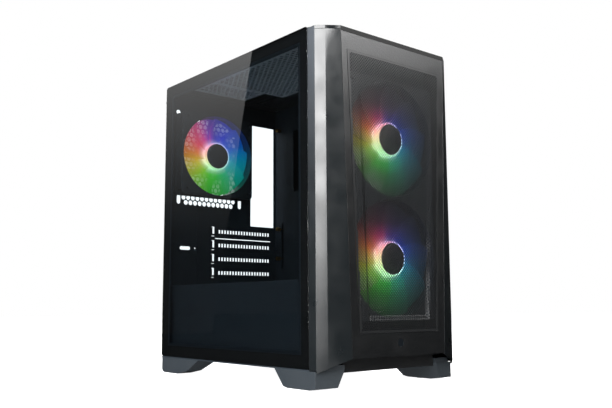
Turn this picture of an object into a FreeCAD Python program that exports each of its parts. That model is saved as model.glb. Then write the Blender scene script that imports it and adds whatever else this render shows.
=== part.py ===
import FreeCAD, Part
import math
import os
import re

import Sketcher

# A compact tower case for a desktop computer, left empty: folded steel chassis, tinted glass left
# side, steel right side, moulded front with a perforated panel, three fans, filters and feet.
#
# Frame: +X is to the right seen from the front, +Y to the rear, +Z up. The origin is under the
# middle of the case, on the surface that it stands on.

V = FreeCAD.Vector
doc = FreeCAD.newDocument("computer_tower")

# ---------------------------------------------------------------- driving sizes, millimetres
SIZES = [
    # the whole case
    ("width", 220.0, "glass face to the steel side's face"),
    ("depth", 360.0, "front face to the end of the thumbscrews"),
    ("height", 402.0, "floor to the top edge of the side panels"),
    ("steel", 0.8, "sheet metal"),
    ("skin", 2.5, "wall of a moulded piece"),
    ("slip", 0.3, "clearance between pieces that move past each other"),
    ("foot_height", 20.6, "floor to the underside of the base pan"),
    # chassis
    ("front_depth", 33.0, "front face to the steel front wall"),
    ("rear_reach", 11.7, "rear wall to the end of the thumbscrews"),
    ("roof_drop", 2.5, "top edge of the sides to the roof"),
    ("side_gap", 0.8, "chassis flange to the frame of a side panel"),
    ("flange", 10.0, "height of a folded edge"),
    ("cable_space", 20.5, "right face to the motherboard tray"),
    ("shroud_height", 97.0, "inside height of the power supply bay"),
    ("shroud_inset", 10.0, "glass face to the shroud's wall"),
    # side panels
    ("glass_thick", 4.0, "toughened glass"),
    ("band_wide", 18.0, "steel band bonded behind the glass border"),
    ("band_thick", 1.0, "thickness of that band"),
    ("panel_lead", 2.3, "side panels' start ahead of the front wall"),
    ("side_lift", 1.7, "underside of the chassis to the side panels"),
    ("side_fold", 4.8, "depth of the steel side's folded edge"),
    ("tab_wide", 12.0, "thumbscrew tab, inwards"),
    ("tab_high", 18.0, "thumbscrew tab, upwards"),
    ("screw_inset", 11.5, "side face to a thumbscrew's axis"),
    ("upper_screw_drop", 18.0, "top edge to the upper thumbscrew"),
    ("lower_screw_rise", 29.4, "base pan to the lower thumbscrew"),
    ("shank_radius", 1.75, "thumbscrew thread"),
    ("grip_radius", 5.2, "thumbscrew head"),
    # front panel
    ("side_inset", 0.4, "glass face to the front pillar's side"),
    ("strip_depth", 12.3, "flat side of a front pillar"),
    ("chamfer_wide", 8.6, "corner chamfer, across"),
    ("chamfer_depth", 8.45, "corner chamfer, front to back"),
    ("centre_top", 86.8, "half width of the front face at the top"),
    ("centre_low", 74.7, "half width of the front face at the lip"),
    ("lip_height", 33.4, "floor to the lower lip of the front face"),
    ("sill_height", 18.5, "floor to the lower end of the chamfer"),
    ("sill_step", 5.0, "rise of the lower edge across the chamfer"),
    ("cap_thick", 4.0, "top trim plate"),
    ("brow_high", 5.5, "black strip across the top of the front"),
    ("mesh_drop", 25.5, "roof to the perforated panel"),
    ("mesh_rise", 26.1, "lip to the perforated panel"),
    ("mesh_top", 77.5, "half width of the perforated panel, top"),
    ("mesh_low", 63.3, "half width of the perforated panel, bottom"),
    ("mesh_thick", 1.0, "perforated sheet"),
    ("mesh_recess", 5.0, "depth of the pressed recess at its foot"),
    ("recess_inset", 14.0, "edge of the sheet to the pressed recess"),
    ("badge_radius", 4.5, "plain round badge"),
    ("badge_thick", 0.6, "its thickness"),
    # fans
    ("fan_thick", 25.0, "front face to rear face of a fan"),
    ("front_fan", 140.0, "side of a front fan"),
    ("front_fan_holes", 124.5, "its screw spacing"),
    ("rear_fan", 120.0, "side of the rear fan"),
    ("rear_fan_holes", 105.0, "its screw spacing"),
    ("rear_fan_inset", 76.2, "glass face to the rear fan's axis"),
    ("rear_fan_drop", 90.7, "roof to the rear fan's axis"),
    ("front_fan_rise", 51.6, "base pan to the lower front fan"),
    ("hub_radius", 18.5, "fan hub"),
    ("spindle_radius", 1.5, "fan shaft"),
    ("blade_thick", 1.6, "fan blade"),
    # motherboard places
    ("board_drop", 26.7, "roof to the top edge of the board"),
    ("standoff_height", 6.5, "tray to the board"),
    ("standoff_radius", 3.2, "over the corners of the hexagon"),
    ("aperture_long", 158.75, "connector aperture, upwards"),
    ("aperture_wide", 44.45, "connector aperture, across"),
    ("slot_pitch", 20.32, "expansion slot pitch"),
    ("slot_drop", 172.8, "top edge of the board to the first slot"),
    ("cover_long", 112.0, "slot cover"),
    ("cover_high", 18.4, "slot cover"),
    # power supply bay
    ("supply_wide", 150.0, "power supply, across"),
    ("supply_high", 86.0, "power supply, upwards"),
    # feet
    ("foot_wide", 35.6, "across a front foot at the top"),
    ("rear_foot_wide", 30.0, "across a rear foot at the top"),
    ("foot_splay", 10.0, "how far a foot's inner side leans in"),
    ("pad_radius", 8.0, "rubber pad"),
    ("rail_reach", 62.5, "filter rails' legs, from the middle of the floor vent"),
    ("pad_proud", 0.8, "how far the pad stands below its foot"),
    ("foot_screw_head", 3.6, "radius of a foot screw's head"),
]

sheet = doc.addObject("Spreadsheet::Sheet", "Sizes")
for row, (alias, value, meaning) in enumerate(SIZES, start=1):
    sheet.set("A%d" % row, alias)
    sheet.set("B%d" % row, str(value))
    sheet.set("C%d" % row, meaning)
    sheet.setAlias("B%d" % row, alias)
doc.recompute()

# ---------------------------------------------------------------- places that follow from the sizes
places = doc.addObject("App::VarSet", "Places")
SIZE_NAMES = {alias for alias, value, meaning in SIZES}
PLACE_NAMES = set()


def bind(text):
    """Turn the names of sizes and places in an expression into references to their cells."""
    def owner(match):
        word = match.group(0)
        if word in SIZE_NAMES:
            return "Sizes." + word
        if word in PLACE_NAMES:
            return "Places." + word
        return word
    return re.sub(r"[A-Za-z_]\w*", owner, text)


def place(name, text):
    """Name a position or a length that is worked out from the sizes."""
    places.addProperty("App::PropertyFloat", name, "Places", text)
    places.setExpression(name, bind(text))
    PLACE_NAMES.add(name)


place("front_y", "-depth / 2")
place("rear_out", "depth / 2 - rear_reach")
place("rear_in", "rear_out - steel")
place("wall_y", "front_y + front_depth")
place("wall_in", "wall_y + steel")
place("floor_top", "foot_height + steel")
place("roof_top", "height - roof_drop")
place("roof_z", "roof_top - steel")
place("chassis_half", "width / 2 - glass_thick - band_thick - side_gap")
place("tray_x", "width / 2 - cable_space")
place("shroud_x", "-width / 2 + shroud_inset")
place("shroud_top", "floor_top + shroud_height")
place("side_front", "wall_y - panel_lead")
place("side_low", "foot_height + side_lift")
place("band_x", "width / 2 - glass_thick")
place("tab_y", "rear_out + slip")
place("tab_out", "tab_y + band_thick")
place("screw_x", "width / 2 - screw_inset")
place("upper_screw", "height - upper_screw_drop")
place("lower_screw", "foot_height + lower_screw_rise")
# corners of the front panel in plan: strip, chamfer, facet, centre
place("pillar_half", "width / 2 - side_inset")
place("strip_front", "side_front - strip_depth")
place("chamfer_half", "pillar_half - chamfer_wide")
place("chamfer_y", "strip_front - chamfer_depth")
place("sill_mid", "sill_height + sill_step")
place("cap_low", "roof_top - cap_thick")
place("brow_low", "roof_top - brow_high")
place("centre_slope", "(centre_top - centre_low) / (roof_top - lip_height)")
place("brow_half", "centre_top - centre_slope * brow_high")
place("mesh_head", "roof_top - mesh_drop")
place("mesh_foot", "lip_height + mesh_rise")
place("mesh_slope", "(mesh_top - mesh_low) / (mesh_head - mesh_foot)")
# fans
place("front_fan_y", "wall_y - fan_thick - 0.5")
place("low_fan_z", "floor_top + front_fan_rise + front_fan / 2")
place("high_fan_z", "low_fan_z + front_fan + 0.2")
place("rear_fan_y", "rear_in - fan_thick")
place("rear_fan_x", "-width / 2 + rear_fan_inset")
place("rear_fan_z", "roof_z - rear_fan_drop")
# motherboard, slots and power supply
place("board_top", "roof_z - board_drop")
place("first_slot", "board_top - slot_drop")
place("aperture_right", "tray_x - 3.45")
place("aperture_top", "board_top - 2.25")
place("cover_x", "tray_x - 1.5 - cover_long")
place("supply_x", "tray_x - 5.5 - supply_wide")
place("supply_z", "floor_top + 3.6")
doc.recompute()


def at(name):
    """The present value of a place or a size, for shapes that are worked out here."""
    if name in PLACE_NAMES:
        return float(getattr(places, name))
    return float(sheet.get(name))


# ---------------------------------------------------------------- ways of making a piece
finished = []


def keep(piece, node):
    """Name a finished sub-part and put it on the list of those to be written."""
    piece.Label = node
    finished.append(piece)
    return piece


def box(name, x, y, z):
    """A block between low and high expressions on each axis."""
    piece = doc.addObject("Part::Box", name)
    for length, axis, (low, high) in zip(("Length", "Width", "Height"), "xyz", (x, y, z)):
        piece.setExpression(length, bind("(%s) - (%s)" % (high, low)))
        piece.setExpression("Placement.Base." + axis, bind(low))
    return piece


TURN = {
    "x": FreeCAD.Rotation(V(0, 1, 0), 90),
    "y": FreeCAD.Rotation(V(1, 0, 0), -90),
    "z": FreeCAD.Rotation(),
}


def rod(name, axis, start, radius, length):
    """A round bar or bore that runs along +axis from its start."""
    piece = doc.addObject("Part::Cylinder", name)
    piece.Placement = FreeCAD.Placement(V(), TURN[axis])
    piece.setExpression("Radius", bind(radius))
    piece.setExpression("Height", bind(length))
    for axis_name, text in zip("xyz", start):
        piece.setExpression("Placement.Base." + axis_name, bind(text))
    return piece


def joined(name, pieces):
    piece = doc.addObject("Part::MultiFuse", name)
    piece.Shapes = pieces
    piece.Refine = True
    return piece


def group(name, pieces):
    piece = doc.addObject("Part::Compound", name)
    piece.Links = pieces
    return piece


def cut(name, base, tools):
    """The base less every tool."""
    piece = doc.addObject("Part::Cut", name)
    piece.Base = base
    piece.Tool = tools[0] if len(tools) == 1 else group(name + "_tools", tools)
    return piece


def solid(name, shape):
    """A piece whose shape is worked out here."""
    piece = doc.addObject("Part::Feature", name)
    piece.Shape = shape
    return piece


def feature(body, kind, name, plane, points, start, length):
    """A Pad or Pocket of a closed outline, from start to start + length across its plane.

    The points are pairs of expressions: x and y on XY, x and z on XZ, y and z on YZ. Three
    expressions on their own are the centre and radius of a circle.
    """
    sketch = body.newObject("Sketcher::SketchObject", name + "_outline")
    role = plane + "_Plane"
    sketch.AttachmentSupport = ([f for f in body.Origin.OriginFeatures if f.Role == role][0], [""])
    sketch.MapMode = "FlatFace"
    offset = "-((%s) + (%s))" % (start, length) if plane == "XZ" else start
    sketch.setExpression("AttachmentOffset.Base.z", bind(offset))

    def fix(kind_of, geometry, point, key, text):
        index = sketch.addConstraint(Sketcher.Constraint(kind_of, -1, 1, geometry, point, 1.0))
        sketch.renameConstraint(index, key)
        sketch.setExpression("Constraints." + key, bind(text))

    if isinstance(points[0], str):
        sketch.addGeometry(Part.Circle(V(1, 1, 0), V(0, 0, 1), 1))
        fix("DistanceX", 0, 3, "across", points[0])
        fix("DistanceY", 0, 3, "along", points[1])
        index = sketch.addConstraint(Sketcher.Constraint("Radius", 0, 1.0))
        sketch.renameConstraint(index, "radius")
        sketch.setExpression("Constraints.radius", bind(points[2]))
    else:
        count = len(points)
        turn = [2 * math.pi * i / count for i in range(count)]
        first = [V(math.cos(a), math.sin(a), 0) for a in turn]
        for i in range(count):
            sketch.addGeometry(Part.LineSegment(first[i], first[(i + 1) % count]))
        for i in range(count):
            sketch.addConstraint(Sketcher.Constraint("Coincident", i, 2, (i + 1) % count, 1))
        for i, (across, along) in enumerate(points):
            fix("DistanceX", i, 1, "across%d" % i, across)
            fix("DistanceY", i, 1, "along%d" % i, along)

    made = body.newObject("PartDesign::" + kind, name)
    made.Profile = sketch
    made.setExpression("Length", bind(length))
    made.Reversed = kind == "Pocket"
    return made


def body(name):
    return doc.addObject("PartDesign::Body", name)


def mirror_x(pairs):
    """An outline's points followed by their mirror images, to close a symmetric outline."""
    return pairs + [("-(%s)" % across, along) for across, along in reversed(pairs)]


# ---------------------------------------------------------------- base pan
# One folded sheet: a floor with a lip under each side panel, an upstand inside each, a vent for
# the power supply's fan, and two rails below it that hold the dust filter.
place("vent_x", "supply_x + supply_wide / 2")
place("vent_y", "rear_in - 76")
floor_parts = [
    box("floor", ("-pillar_half", "pillar_half"), ("wall_in", "rear_in"), ("foot_height", "floor_top")),
]
for side in (-1, 1):
    if side > 0:
        lip = ("chassis_half + slip", "pillar_half")
        stand = ("chassis_half - steel", "chassis_half")
        leg = ("vent_x + rail_reach", "vent_x + rail_reach + steel")
        shelf = ("vent_x + rail_reach - 4", "vent_x + rail_reach + steel")
    else:
        lip = ("-pillar_half", "-chassis_half - slip")
        stand = ("-chassis_half", "-chassis_half + steel")
        leg = ("vent_x - rail_reach - steel", "vent_x - rail_reach")
        shelf = ("vent_x - rail_reach - steel", "vent_x - rail_reach + 4")
    floor_parts.append(box("hem", lip, ("side_front", "rear_in"), ("foot_height", "floor_top + 0.6")))
    floor_parts.append(box("upstand", stand, ("wall_in", "rear_in"), ("floor_top", "floor_top + flange")))
    floor_parts.append(box("rail", leg, ("vent_y - 66", "rear_in - 2"),
                           ("foot_height - 4.8", "foot_height")))
    floor_parts.append(box("rail_shelf", shelf, ("vent_y - 66", "rear_in - 2"),
                           ("foot_height - 4.8", "foot_height - 4.8 + steel")))
vents = []
VENT_CELLS = 3
CELL_PITCH = "39.3"
CELL_WIDE = "37.4"
VENT_HALF = "58"
for column in range(VENT_CELLS):
    for line in range(VENT_CELLS):
        low_x = "vent_x - %s + %d * %s" % (VENT_HALF, column, CELL_PITCH)
        low_y = "vent_y - %s + %d * %s" % (VENT_HALF, line, CELL_PITCH)
        vents.append(box("vent", (low_x, low_x + " + " + CELL_WIDE), (low_y, low_y + " + " + CELL_WIDE),
                         ("foot_height - 1", "floor_top + 1")))
# the screws' heads stand beside the shroud's wall
place("foot_screw_half", "width / 2 - shroud_inset - steel - foot_screw_head")
FEET = {
    # name: side, screw's y
    "front_left": (-1, "wall_in + 20"),
    "front_right": (1, "wall_in + 20"),
    "rear_left": (-1, "rear_in - 22"),
    "rear_right": (1, "rear_in - 22"),
}


def foot_screw_x(side):
    return ("" if side > 0 else "-") + "foot_screw_half"


for side, screw_y in FEET.values():
    vents.append(rod("foot_screw_hole", "z", (foot_screw_x(side), screw_y, "foot_height - 1"), "2.2",
                     "steel + 2"))
keep(cut("base", joined("base_sheet", floor_parts), vents), "base_pan")

# ---------------------------------------------------------------- feet
# Moulded feet with a leaning inner side. The front pair reach forward under the front panel and
# close the space below its corners; a rubber pad is set into each sole.
# the foot's rise stays behind the wall of the chamfer above it, which leans at 45 degrees
RISE_START = "strip_front + 1.5 * skin - 2.5"
# the foot's nose stays behind the pillar's inner corner, whose place follows the wall's thickness
NOSE_START = "strip_front + 0.84 * skin"
for name, (side, screw_y) in FEET.items():
    foot = body("foot_" + name)
    sign = "" if side > 0 else "-"
    outer = sign + "pillar_half"
    if name.startswith("front"):
        wide = "foot_wide"
        front = "strip_front - 4.8"
        profile = [(front, "foot_height"), (front, "3"), ("strip_front + 12", "pad_proud"),
                   ("strip_front + 50", "pad_proud"),
                   ("strip_front + 57", "2.2"), ("strip_front + 73", "foot_height")]
    else:
        wide = "rear_foot_wide"
        profile = [("rear_in - 1.5", "foot_height"), ("rear_in - 1.5", "5.5"), ("rear_in - 3.2", "2.2"),
                   ("rear_in - 6.5", "pad_proud"), ("rear_in - 43", "pad_proud"),
                   ("rear_in - 66.5", "5.3"), ("rear_in - 95.5", "foot_height")]
    start = "pillar_half - " + wide if side > 0 else "-pillar_half"
    feature(foot, "Pad", "block", "YZ", profile, start, wide)
    inner_top = sign + "(pillar_half - %s)" % wide
    inner_sole = sign + "(pillar_half - %s + foot_splay)" % wide
    beyond = sign + "(pillar_half - %s - 1)" % wide
    lean = [(inner_top, "foot_height"), (beyond, "foot_height"), (beyond, "-1"), (inner_sole, "-1")]
    feature(foot, "Pocket", "lean", "XZ", lean, "front_y", "depth")
    if name.startswith("front"):
        nose = [(outer, NOSE_START), (sign + "(pillar_half + 1)", NOSE_START),
                (sign + "(pillar_half + 1)", "front_y"), (inner_top, "front_y"), (inner_top, front)]
        feature(foot, "Pocket", "nose", "XY", nose, "-1", "foot_height + 2")
        rise = [(sign + "(pillar_half - 6)", "wall_y - 1"), (inner_top, "wall_y - 1"),
                (inner_top, front), (sign + "(pillar_half - 6)", RISE_START)]
        feature(foot, "Pad", "rise", "XY", rise, "foot_height", "6")
    feature(foot, "Pocket", "pad_seat", "XY", (foot_screw_x(side), screw_y, "pad_radius + 0.1"),
            "pad_proud - 1", "3")
    feature(foot, "Pocket", "screw_bore", "XY", (foot_screw_x(side), screw_y, "2"), "foot_height - 10",
            "10")
    keep(foot, "foot_" + name)
pads = [rod("pad", "z", (foot_screw_x(side), screw_y, "0"), "pad_radius", "pad_proud + 2")
        for side, screw_y in FEET.values()]
keep(group("pads", pads), "foot_pads")
screws = []
for side, screw_y in FEET.values():
    shank = rod("shank", "z", (foot_screw_x(side), screw_y, "foot_height - 9"), "2", "9 + steel")
    head = rod("head", "z", (foot_screw_x(side), screw_y, "floor_top"), "foot_screw_head", "2.2")
    screws.append(joined("foot_screw", [shank, head]))
keep(group("screws", screws), "foot_screws")

# ---------------------------------------------------------------- front wall
# Steel wall that carries the two intake fans and takes the front panel's snap clips.
CLIP_HEIGHTS = ("lip_height + 30", "(lip_height + roof_top) / 2", "roof_top - 34")
place("clip_x", "chamfer_half - 5.5")
wall = joined("wall_sheet", [
    box("wall", ("-chassis_half", "chassis_half"), ("wall_y", "wall_in"), ("foot_height", "roof_z")),
    box("wall_left", ("-chassis_half", "-chassis_half + steel"), ("wall_in", "wall_in + 12"),
        ("floor_top + flange + 1", "roof_z")),
    box("wall_right", ("chassis_half - steel", "chassis_half"), ("wall_in", "wall_in + 12"),
        ("floor_top + flange + 1", "roof_z")),
])
openings = []
for fan_z in ("low_fan_z", "high_fan_z"):
    openings.append(rod("intake", "y", ("0", "wall_y - 1", fan_z), "front_fan / 2 - 4", "steel + 2"))
    for dx in ("-", "+"):
        for dz in ("-", "+"):
            hole = ("0 %s front_fan_holes / 2" % dx, "wall_y - 1", "%s %s front_fan_holes / 2" % (fan_z,
                                                                                                  dz))
            openings.append(rod("fan_hole", "y", hole, "2.2", "steel + 2"))
for clip_z in CLIP_HEIGHTS:
    for sign in ("", "-"):
        centre = sign + "clip_x"
        openings.append(box("clip_slot", (centre + " - 2.8", centre + " + 2.8"),
                            ("wall_y - 1", "wall_in + 1"),
                            (clip_z + " - 3.8", clip_z + " + 3.8")))
keep(cut("front_wall_cut", wall, openings), "front_wall")

# ---------------------------------------------------------------- rear panel
# One pressed sheet with the connector aperture, a field of round vent holes behind the fan, four expansion
# slots, the power supply's opening and the thumbscrews' threads.


def oblong(x, z, wide, high):
    """A round-ended slot in the plane y = 0, whose ends are on its longer axis."""
    radius = min(wide, high) / 2
    reach = max(wide, high) / 2 - radius
    along = V(0, 0, 1) if high >= wide else V(1, 0, 0)
    across = V(1, 0, 0) if high >= wide else V(0, 0, 1)
    middle = V(x, 0, z)
    a, b = middle - along * reach + across * radius, middle + along * reach + across * radius
    c, d = middle + along * reach - across * radius, middle - along * reach - across * radius
    far, near = middle + along * (reach + radius), middle - along * (reach + radius)
    return Part.Wire([Part.makeLine(a, b), Part.Arc(b, far, c).toShape(), Part.makeLine(c, d),
                      Part.Arc(d, near, a).toShape()])


def rectangle(x0, z0, x1, z1):
    corners = [V(x0, 0, z0), V(x1, 0, z0), V(x1, 0, z1), V(x0, 0, z1), V(x0, 0, z0)]
    return Part.makePolygon(corners)


def round_hole(x, z, radius):
    return Part.Wire(Part.makeCircle(radius, V(x, 0, z), V(0, 1, 0)))


def plate(outline, holes, y0, y1):
    """A flat sheet across Y with holes in it."""
    face = Part.makeFace([outline] + holes, "Part::FaceMakerBullseye")
    sheet_shape = face.extrude(V(0, y1 - y0, 0))
    sheet_shape.translate(V(0, y0, 0))
    return sheet_shape


VENT_RADIUS = 3.45
VENT_PITCH = 7.8
VENT_LINE = 7.2
VENT_COLUMNS = 12
VENT_LINES = 19
VENT_DROP = 69.3
SCREW_LAND = 6.4
SLOTS = 4


def rear_panel_shape():
    half = at("chassis_half")
    holes = []
    fan_x, fan_z = at("rear_fan_x"), at("rear_fan_z")
    reach = at("rear_fan_holes") / 2
    for line in range(VENT_LINES):
        z = fan_z - VENT_DROP + VENT_LINE * line
        odd = line % 2
        for column in range(VENT_COLUMNS - 1 + odd):
            x = fan_x - VENT_PITCH * (VENT_COLUMNS - 2 + odd) / 2 + VENT_PITCH * column
            off_screw = max(abs(abs(x - fan_x) - reach), abs(abs(z - fan_z) - reach))
            if off_screw > SCREW_LAND:
                holes.append(round_hole(x, z, VENT_RADIUS))
    for dx in (-reach, reach):
        for dz in (-reach, reach):
            holes.append(round_hole(fan_x + dx, fan_z + dz, 2.2))
    right, top = at("aperture_right"), at("aperture_top")
    holes.append(rectangle(right - at("aperture_wide"), top - at("aperture_long"), right, top))
    cover_x, slot_z, pitch = at("cover_x"), at("first_slot"), at("slot_pitch")
    for slot in range(SLOTS):
        z = slot_z - slot * pitch
        holes.append(rectangle(cover_x + 5.6, z - 6.6, cover_x + at("cover_long") - 8, z + 6.6))
        holes.append(rectangle(cover_x - 4.5, z - 7.2, cover_x + 0.5, z + 7.2))
    holes.append(rectangle(cover_x + 2, slot_z - pitch / 2 - 0.7, cover_x + 104,
                           slot_z - pitch / 2 + 0.6))
    # small features of the blank area
    left = -at("width") / 2
    holes.append(oblong(left + 25.2, at("rear_fan_z") - 64.8, 6, 14.6))
    holes.append(oblong(fan_x + 54.8, at("rear_fan_z") - 64.6, 6, 14.6))
    holes.append(round_hole(left + 22.6, at("board_top") - 1.6, 3.4))
    holes.append(oblong(left + 37, slot_z - 26.7, 17.4, 5))
    holes.append(round_hole(left + 53.4, slot_z - 26.2, 1.2))
    # power supply: opening and its four screws
    px, pz = at("supply_x"), at("supply_z")
    wide, high = at("supply_wide"), at("supply_high")
    holes.append(rectangle(px + 12, pz + 11, px + wide - 12, pz + high - 11))
    for dx, dz in ((6, 16), (6, high - 6), (wide - 6, high - 6), (wide - 30, 6)):
        holes.append(round_hole(px + dx, pz + dz, 1.9))
    # threads of the side panels' thumbscrews
    for z in (at("upper_screw"), at("lower_screw")):
        for x in (-at("screw_x"), at("screw_x")):
            holes.append(round_hole(x, z, at("shank_radius") + 0.1))
    outline = rectangle(-half, at("foot_height"), half, at("roof_z"))
    shape = plate(outline, holes, at("rear_in"), at("rear_out"))
    steel, flange = at("steel"), at("flange")
    fold_low = at("floor_top") + flange + 1
    for x in (-half, half - steel):
        fold = Part.makeBox(steel, flange, at("roof_z") - fold_low, V(x, at("rear_in") - flange, fold_low))
        shape = shape.fuse(fold)
    bead = Part.makeBox(2.4, 0.8, 5.2 * pitch, V(left + 56, at("rear_in") - 0.8,
                                                 slot_z - 4.2 * pitch + 16))
    return shape.fuse(bead).removeSplitter()


keep(solid("rear", rear_panel_shape()), "rear_panel")

# ---------------------------------------------------------------- slot covers, ledge and screws
# Each cover lies inside the rear panel; its bent ear passes out through a slot and is screwed to
# a ledge that stands behind the panel.
place("ear_x", "cover_x - 4.2")
COVER_HOLES = 19
# the cover is full width from here on; before it, a neck holds the ear and leaves a gap of light
COVER_START = "cover_x + 1.2"
for slot in range(SLOTS):
    z = "first_slot - %d * slot_pitch" % slot
    cover = body("slot_cover_%d" % (slot + 1))
    low, high = z + " - cover_high / 2", z + " + cover_high / 2"
    ear_low, ear_high = z + " - 6.4", z + " + 6.4"
    neck_high = z + " - 3.4"
    strip = [("ear_x", ear_low), (COVER_START, ear_low), (COVER_START, low), ("cover_x + cover_long", low),
             ("cover_x + cover_long", high), (COVER_START, high), (COVER_START, neck_high),
             ("ear_x", neck_high)]
    feature(cover, "Pad", "strip", "XZ", strip, "rear_in - 0.1 - steel", "steel")
    ear = [("ear_x", ear_low), ("ear_x + steel", ear_low), ("ear_x + steel", ear_high), ("ear_x", ear_high)]
    feature(cover, "Pad", "ear", "XZ", ear, "rear_in - 0.1 - steel", "steel + 11.4")
    doc.recompute()
    hole = [("cover_x + 7.4", z + " - 2.6"), ("cover_x + 10.4", z + " - 2.6"),
            ("cover_x + 10.4", z + " + 2.6"), ("cover_x + 7.4", z + " + 2.6")]
    vent = feature(cover, "Pocket", "vent", "XZ", hole, "rear_in - 2", "3")
    row = cover.newObject("PartDesign::LinearPattern", "vent_row")
    row.Originals = [vent]
    row.Direction = (vent.Profile[0], ["H_Axis"])
    row.Length = 5.0 * (COVER_HOLES - 1)
    row.Occurrences = COVER_HOLES
    cover.Tip = row
    feature(cover, "Pocket", "screw_hole", "YZ", ("rear_out + 6", z, "1.85"), "ear_x - 1", "3")
    keep(cover, "slot_cover_%d" % (slot + 1))
ledge = joined("ledge_sheet", [
    box("ledge_face", ("ear_x - steel", "ear_x"), ("rear_out", "rear_out + 11"),
        ("first_slot - 3 * slot_pitch - 9.5", "first_slot + 9.5")),
    box("ledge_foot", ("ear_x - 12", "ear_x"), ("rear_out", "rear_out + steel"),
        ("first_slot - 3 * slot_pitch - 9.5", "first_slot + 9.5")),
])
ledge_holes = [rod("ledge_hole", "x", ("ear_x - 3", "rear_out + 6",
                                       "first_slot - %d * slot_pitch" % slot), "1.75",
                   "4") for slot in range(SLOTS)]
keep(cut("ledge", ledge, ledge_holes), "slot_ledge")
slot_screws = []
for slot in range(SLOTS):
    z = "first_slot - %d * slot_pitch" % slot
    shank = rod("slot_shank", "x", ("ear_x - 4", "rear_out + 6", z), "1.75", "4")
    head = rod("slot_head", "x", ("ear_x + steel", "rear_out + 6", z), "3.4", "2")
    tip = rod("slot_tip", "x", ("ear_x", "rear_out + 6", z), "1.75", "steel + 1")
    slot_screws.append(joined("slot_screw", [shank, tip, head]))
keep(group("slot_screw_set", slot_screws), "slot_cover_screws")

# ---------------------------------------------------------------- top panel
# Roof sheet with folded sides, two slots near the rear and the opening for the front sockets.
IO_HALF = "50"
place("io_y0", "wall_y + 8")
place("io_y1", "io_y0 + 22")
roof = joined("roof_sheet", [
    box("roof", ("-chassis_half", "chassis_half"), ("side_front", "rear_out"), ("roof_z", "roof_top")),
    box("roof_left", ("-chassis_half", "-chassis_half + steel"),
        ("wall_in + 12.5", "rear_in - flange - 0.5"),
        ("roof_z - flange", "roof_z")),
    box("roof_right", ("chassis_half - steel", "chassis_half"),
        ("wall_in + 12.5", "rear_in - flange - 0.5"),
        ("roof_z - flange", "roof_z")),
])
roof_cuts = [box("io_opening", ("-" + IO_HALF, IO_HALF), ("io_y0", "io_y1"),
                 ("roof_z - 1", "roof_top + 1"))]
for slot_x in ("tray_x - 72.5", "tray_x - 53"):
    roof_cuts.append(box("roof_slot", (slot_x + " - 2.5", slot_x + " + 2.5"),
                         ("rear_in - 73", "rear_in - 25"),
                         ("roof_z - 1", "roof_top + 1")))
keep(cut("roof_cut", roof, roof_cuts), "top_panel")

# ---------------------------------------------------------------- motherboard tray
# Upright sheet between the board side and the cable side, with a window behind the processor,
# cable slots, and a cut below the shroud through which the drive trays come out.
tray = box("tray_sheet", ("tray_x", "tray_x + steel"), ("wall_in", "rear_in"), ("floor_top", "roof_z"))
across_tray = ("tray_x - 1", "tray_x + steel + 1")
tray_cuts = [
    box("cpu_window", across_tray, ("rear_in - 140", "rear_in - 46"),
        ("board_top - 108", "board_top - 12")),
    box("cable_slot_low", across_tray, ("wall_in + 18", "wall_in + 44"),
        ("shroud_top + 14", "shroud_top + 94")),
    box("cable_slot_high", across_tray, ("wall_in + 18", "wall_in + 44"),
        ("board_top - 132", "board_top - 40")),
    box("cable_slot_top", across_tray, ("rear_in - 150", "rear_in - 90"), ("roof_z - 20", "roof_z - 8")),
    box("rear_slit", across_tray, ("rear_in - 21.5", "rear_in - 16.5"),
        ("shroud_top + 28.2", "shroud_top + 98.3")),
    box("drive_way", across_tray, ("wall_in + 8", "wall_in + 126"),
        ("floor_top + 1.5", "floor_top + 74")),
    box("supply_way", across_tray, ("wall_in + 140", "rear_in - 8"), ("floor_top + 3", "shroud_top - 5")),
]
STANDOFF_COLUMNS = (0, 154.94, 227.33)
STANDOFF_LINES = (0, 157.48, 203.2)
place("stud_y", "rear_in - 12.4")
place("stud_z", "board_top - 6.35")
for along in STANDOFF_COLUMNS:
    for down in STANDOFF_LINES:
        tray_cuts.append(rod("stud_hole", "x", ("tray_x - 1", "stud_y - %g" % along,
                                                "stud_z - %g" % down), "1.5",
                             "steel + 2"))
for z in ("board_top - 150", "board_top - 70"):
    tray_cuts.append(rod("ssd_hole", "x", ("tray_x - 1", "wall_in + 90", z), "1.6", "steel + 2"))
keep(cut("tray_cut", tray, tray_cuts), "motherboard_tray")

standoffs = []
for along in STANDOFF_COLUMNS:
    for down in STANDOFF_LINES:
        hexagonal = doc.addObject("Part::Prism", "standoff_hexagon")
        hexagonal.Polygon = 6
        hexagonal.Placement = FreeCAD.Placement(V(), FreeCAD.Rotation(V(0, 1, 0), -90))
        hexagonal.setExpression("Circumradius", bind("standoff_radius"))
        hexagonal.setExpression("Height", bind("standoff_height"))
        hexagonal.setExpression("Placement.Base.x", bind("tray_x"))
        hexagonal.setExpression("Placement.Base.y", bind("stud_y - %g" % along))
        hexagonal.setExpression("Placement.Base.z", bind("stud_z - %g" % down))
        spot = ("stud_y - %g" % along, "stud_z - %g" % down)
        stud = rod("stud", "x", ("tray_x - 1",) + spot, "1.5", "steel + 4")
        thread = rod("thread", "x", ("tray_x - standoff_height - 1",) + spot, "1.25",
                     "standoff_height - 0.5")
        standoffs.append(cut("standoff", joined("standoff_blank", [hexagonal, stud]), [thread]))
keep(group("standoff_set", standoffs), "board_standoffs")

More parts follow.
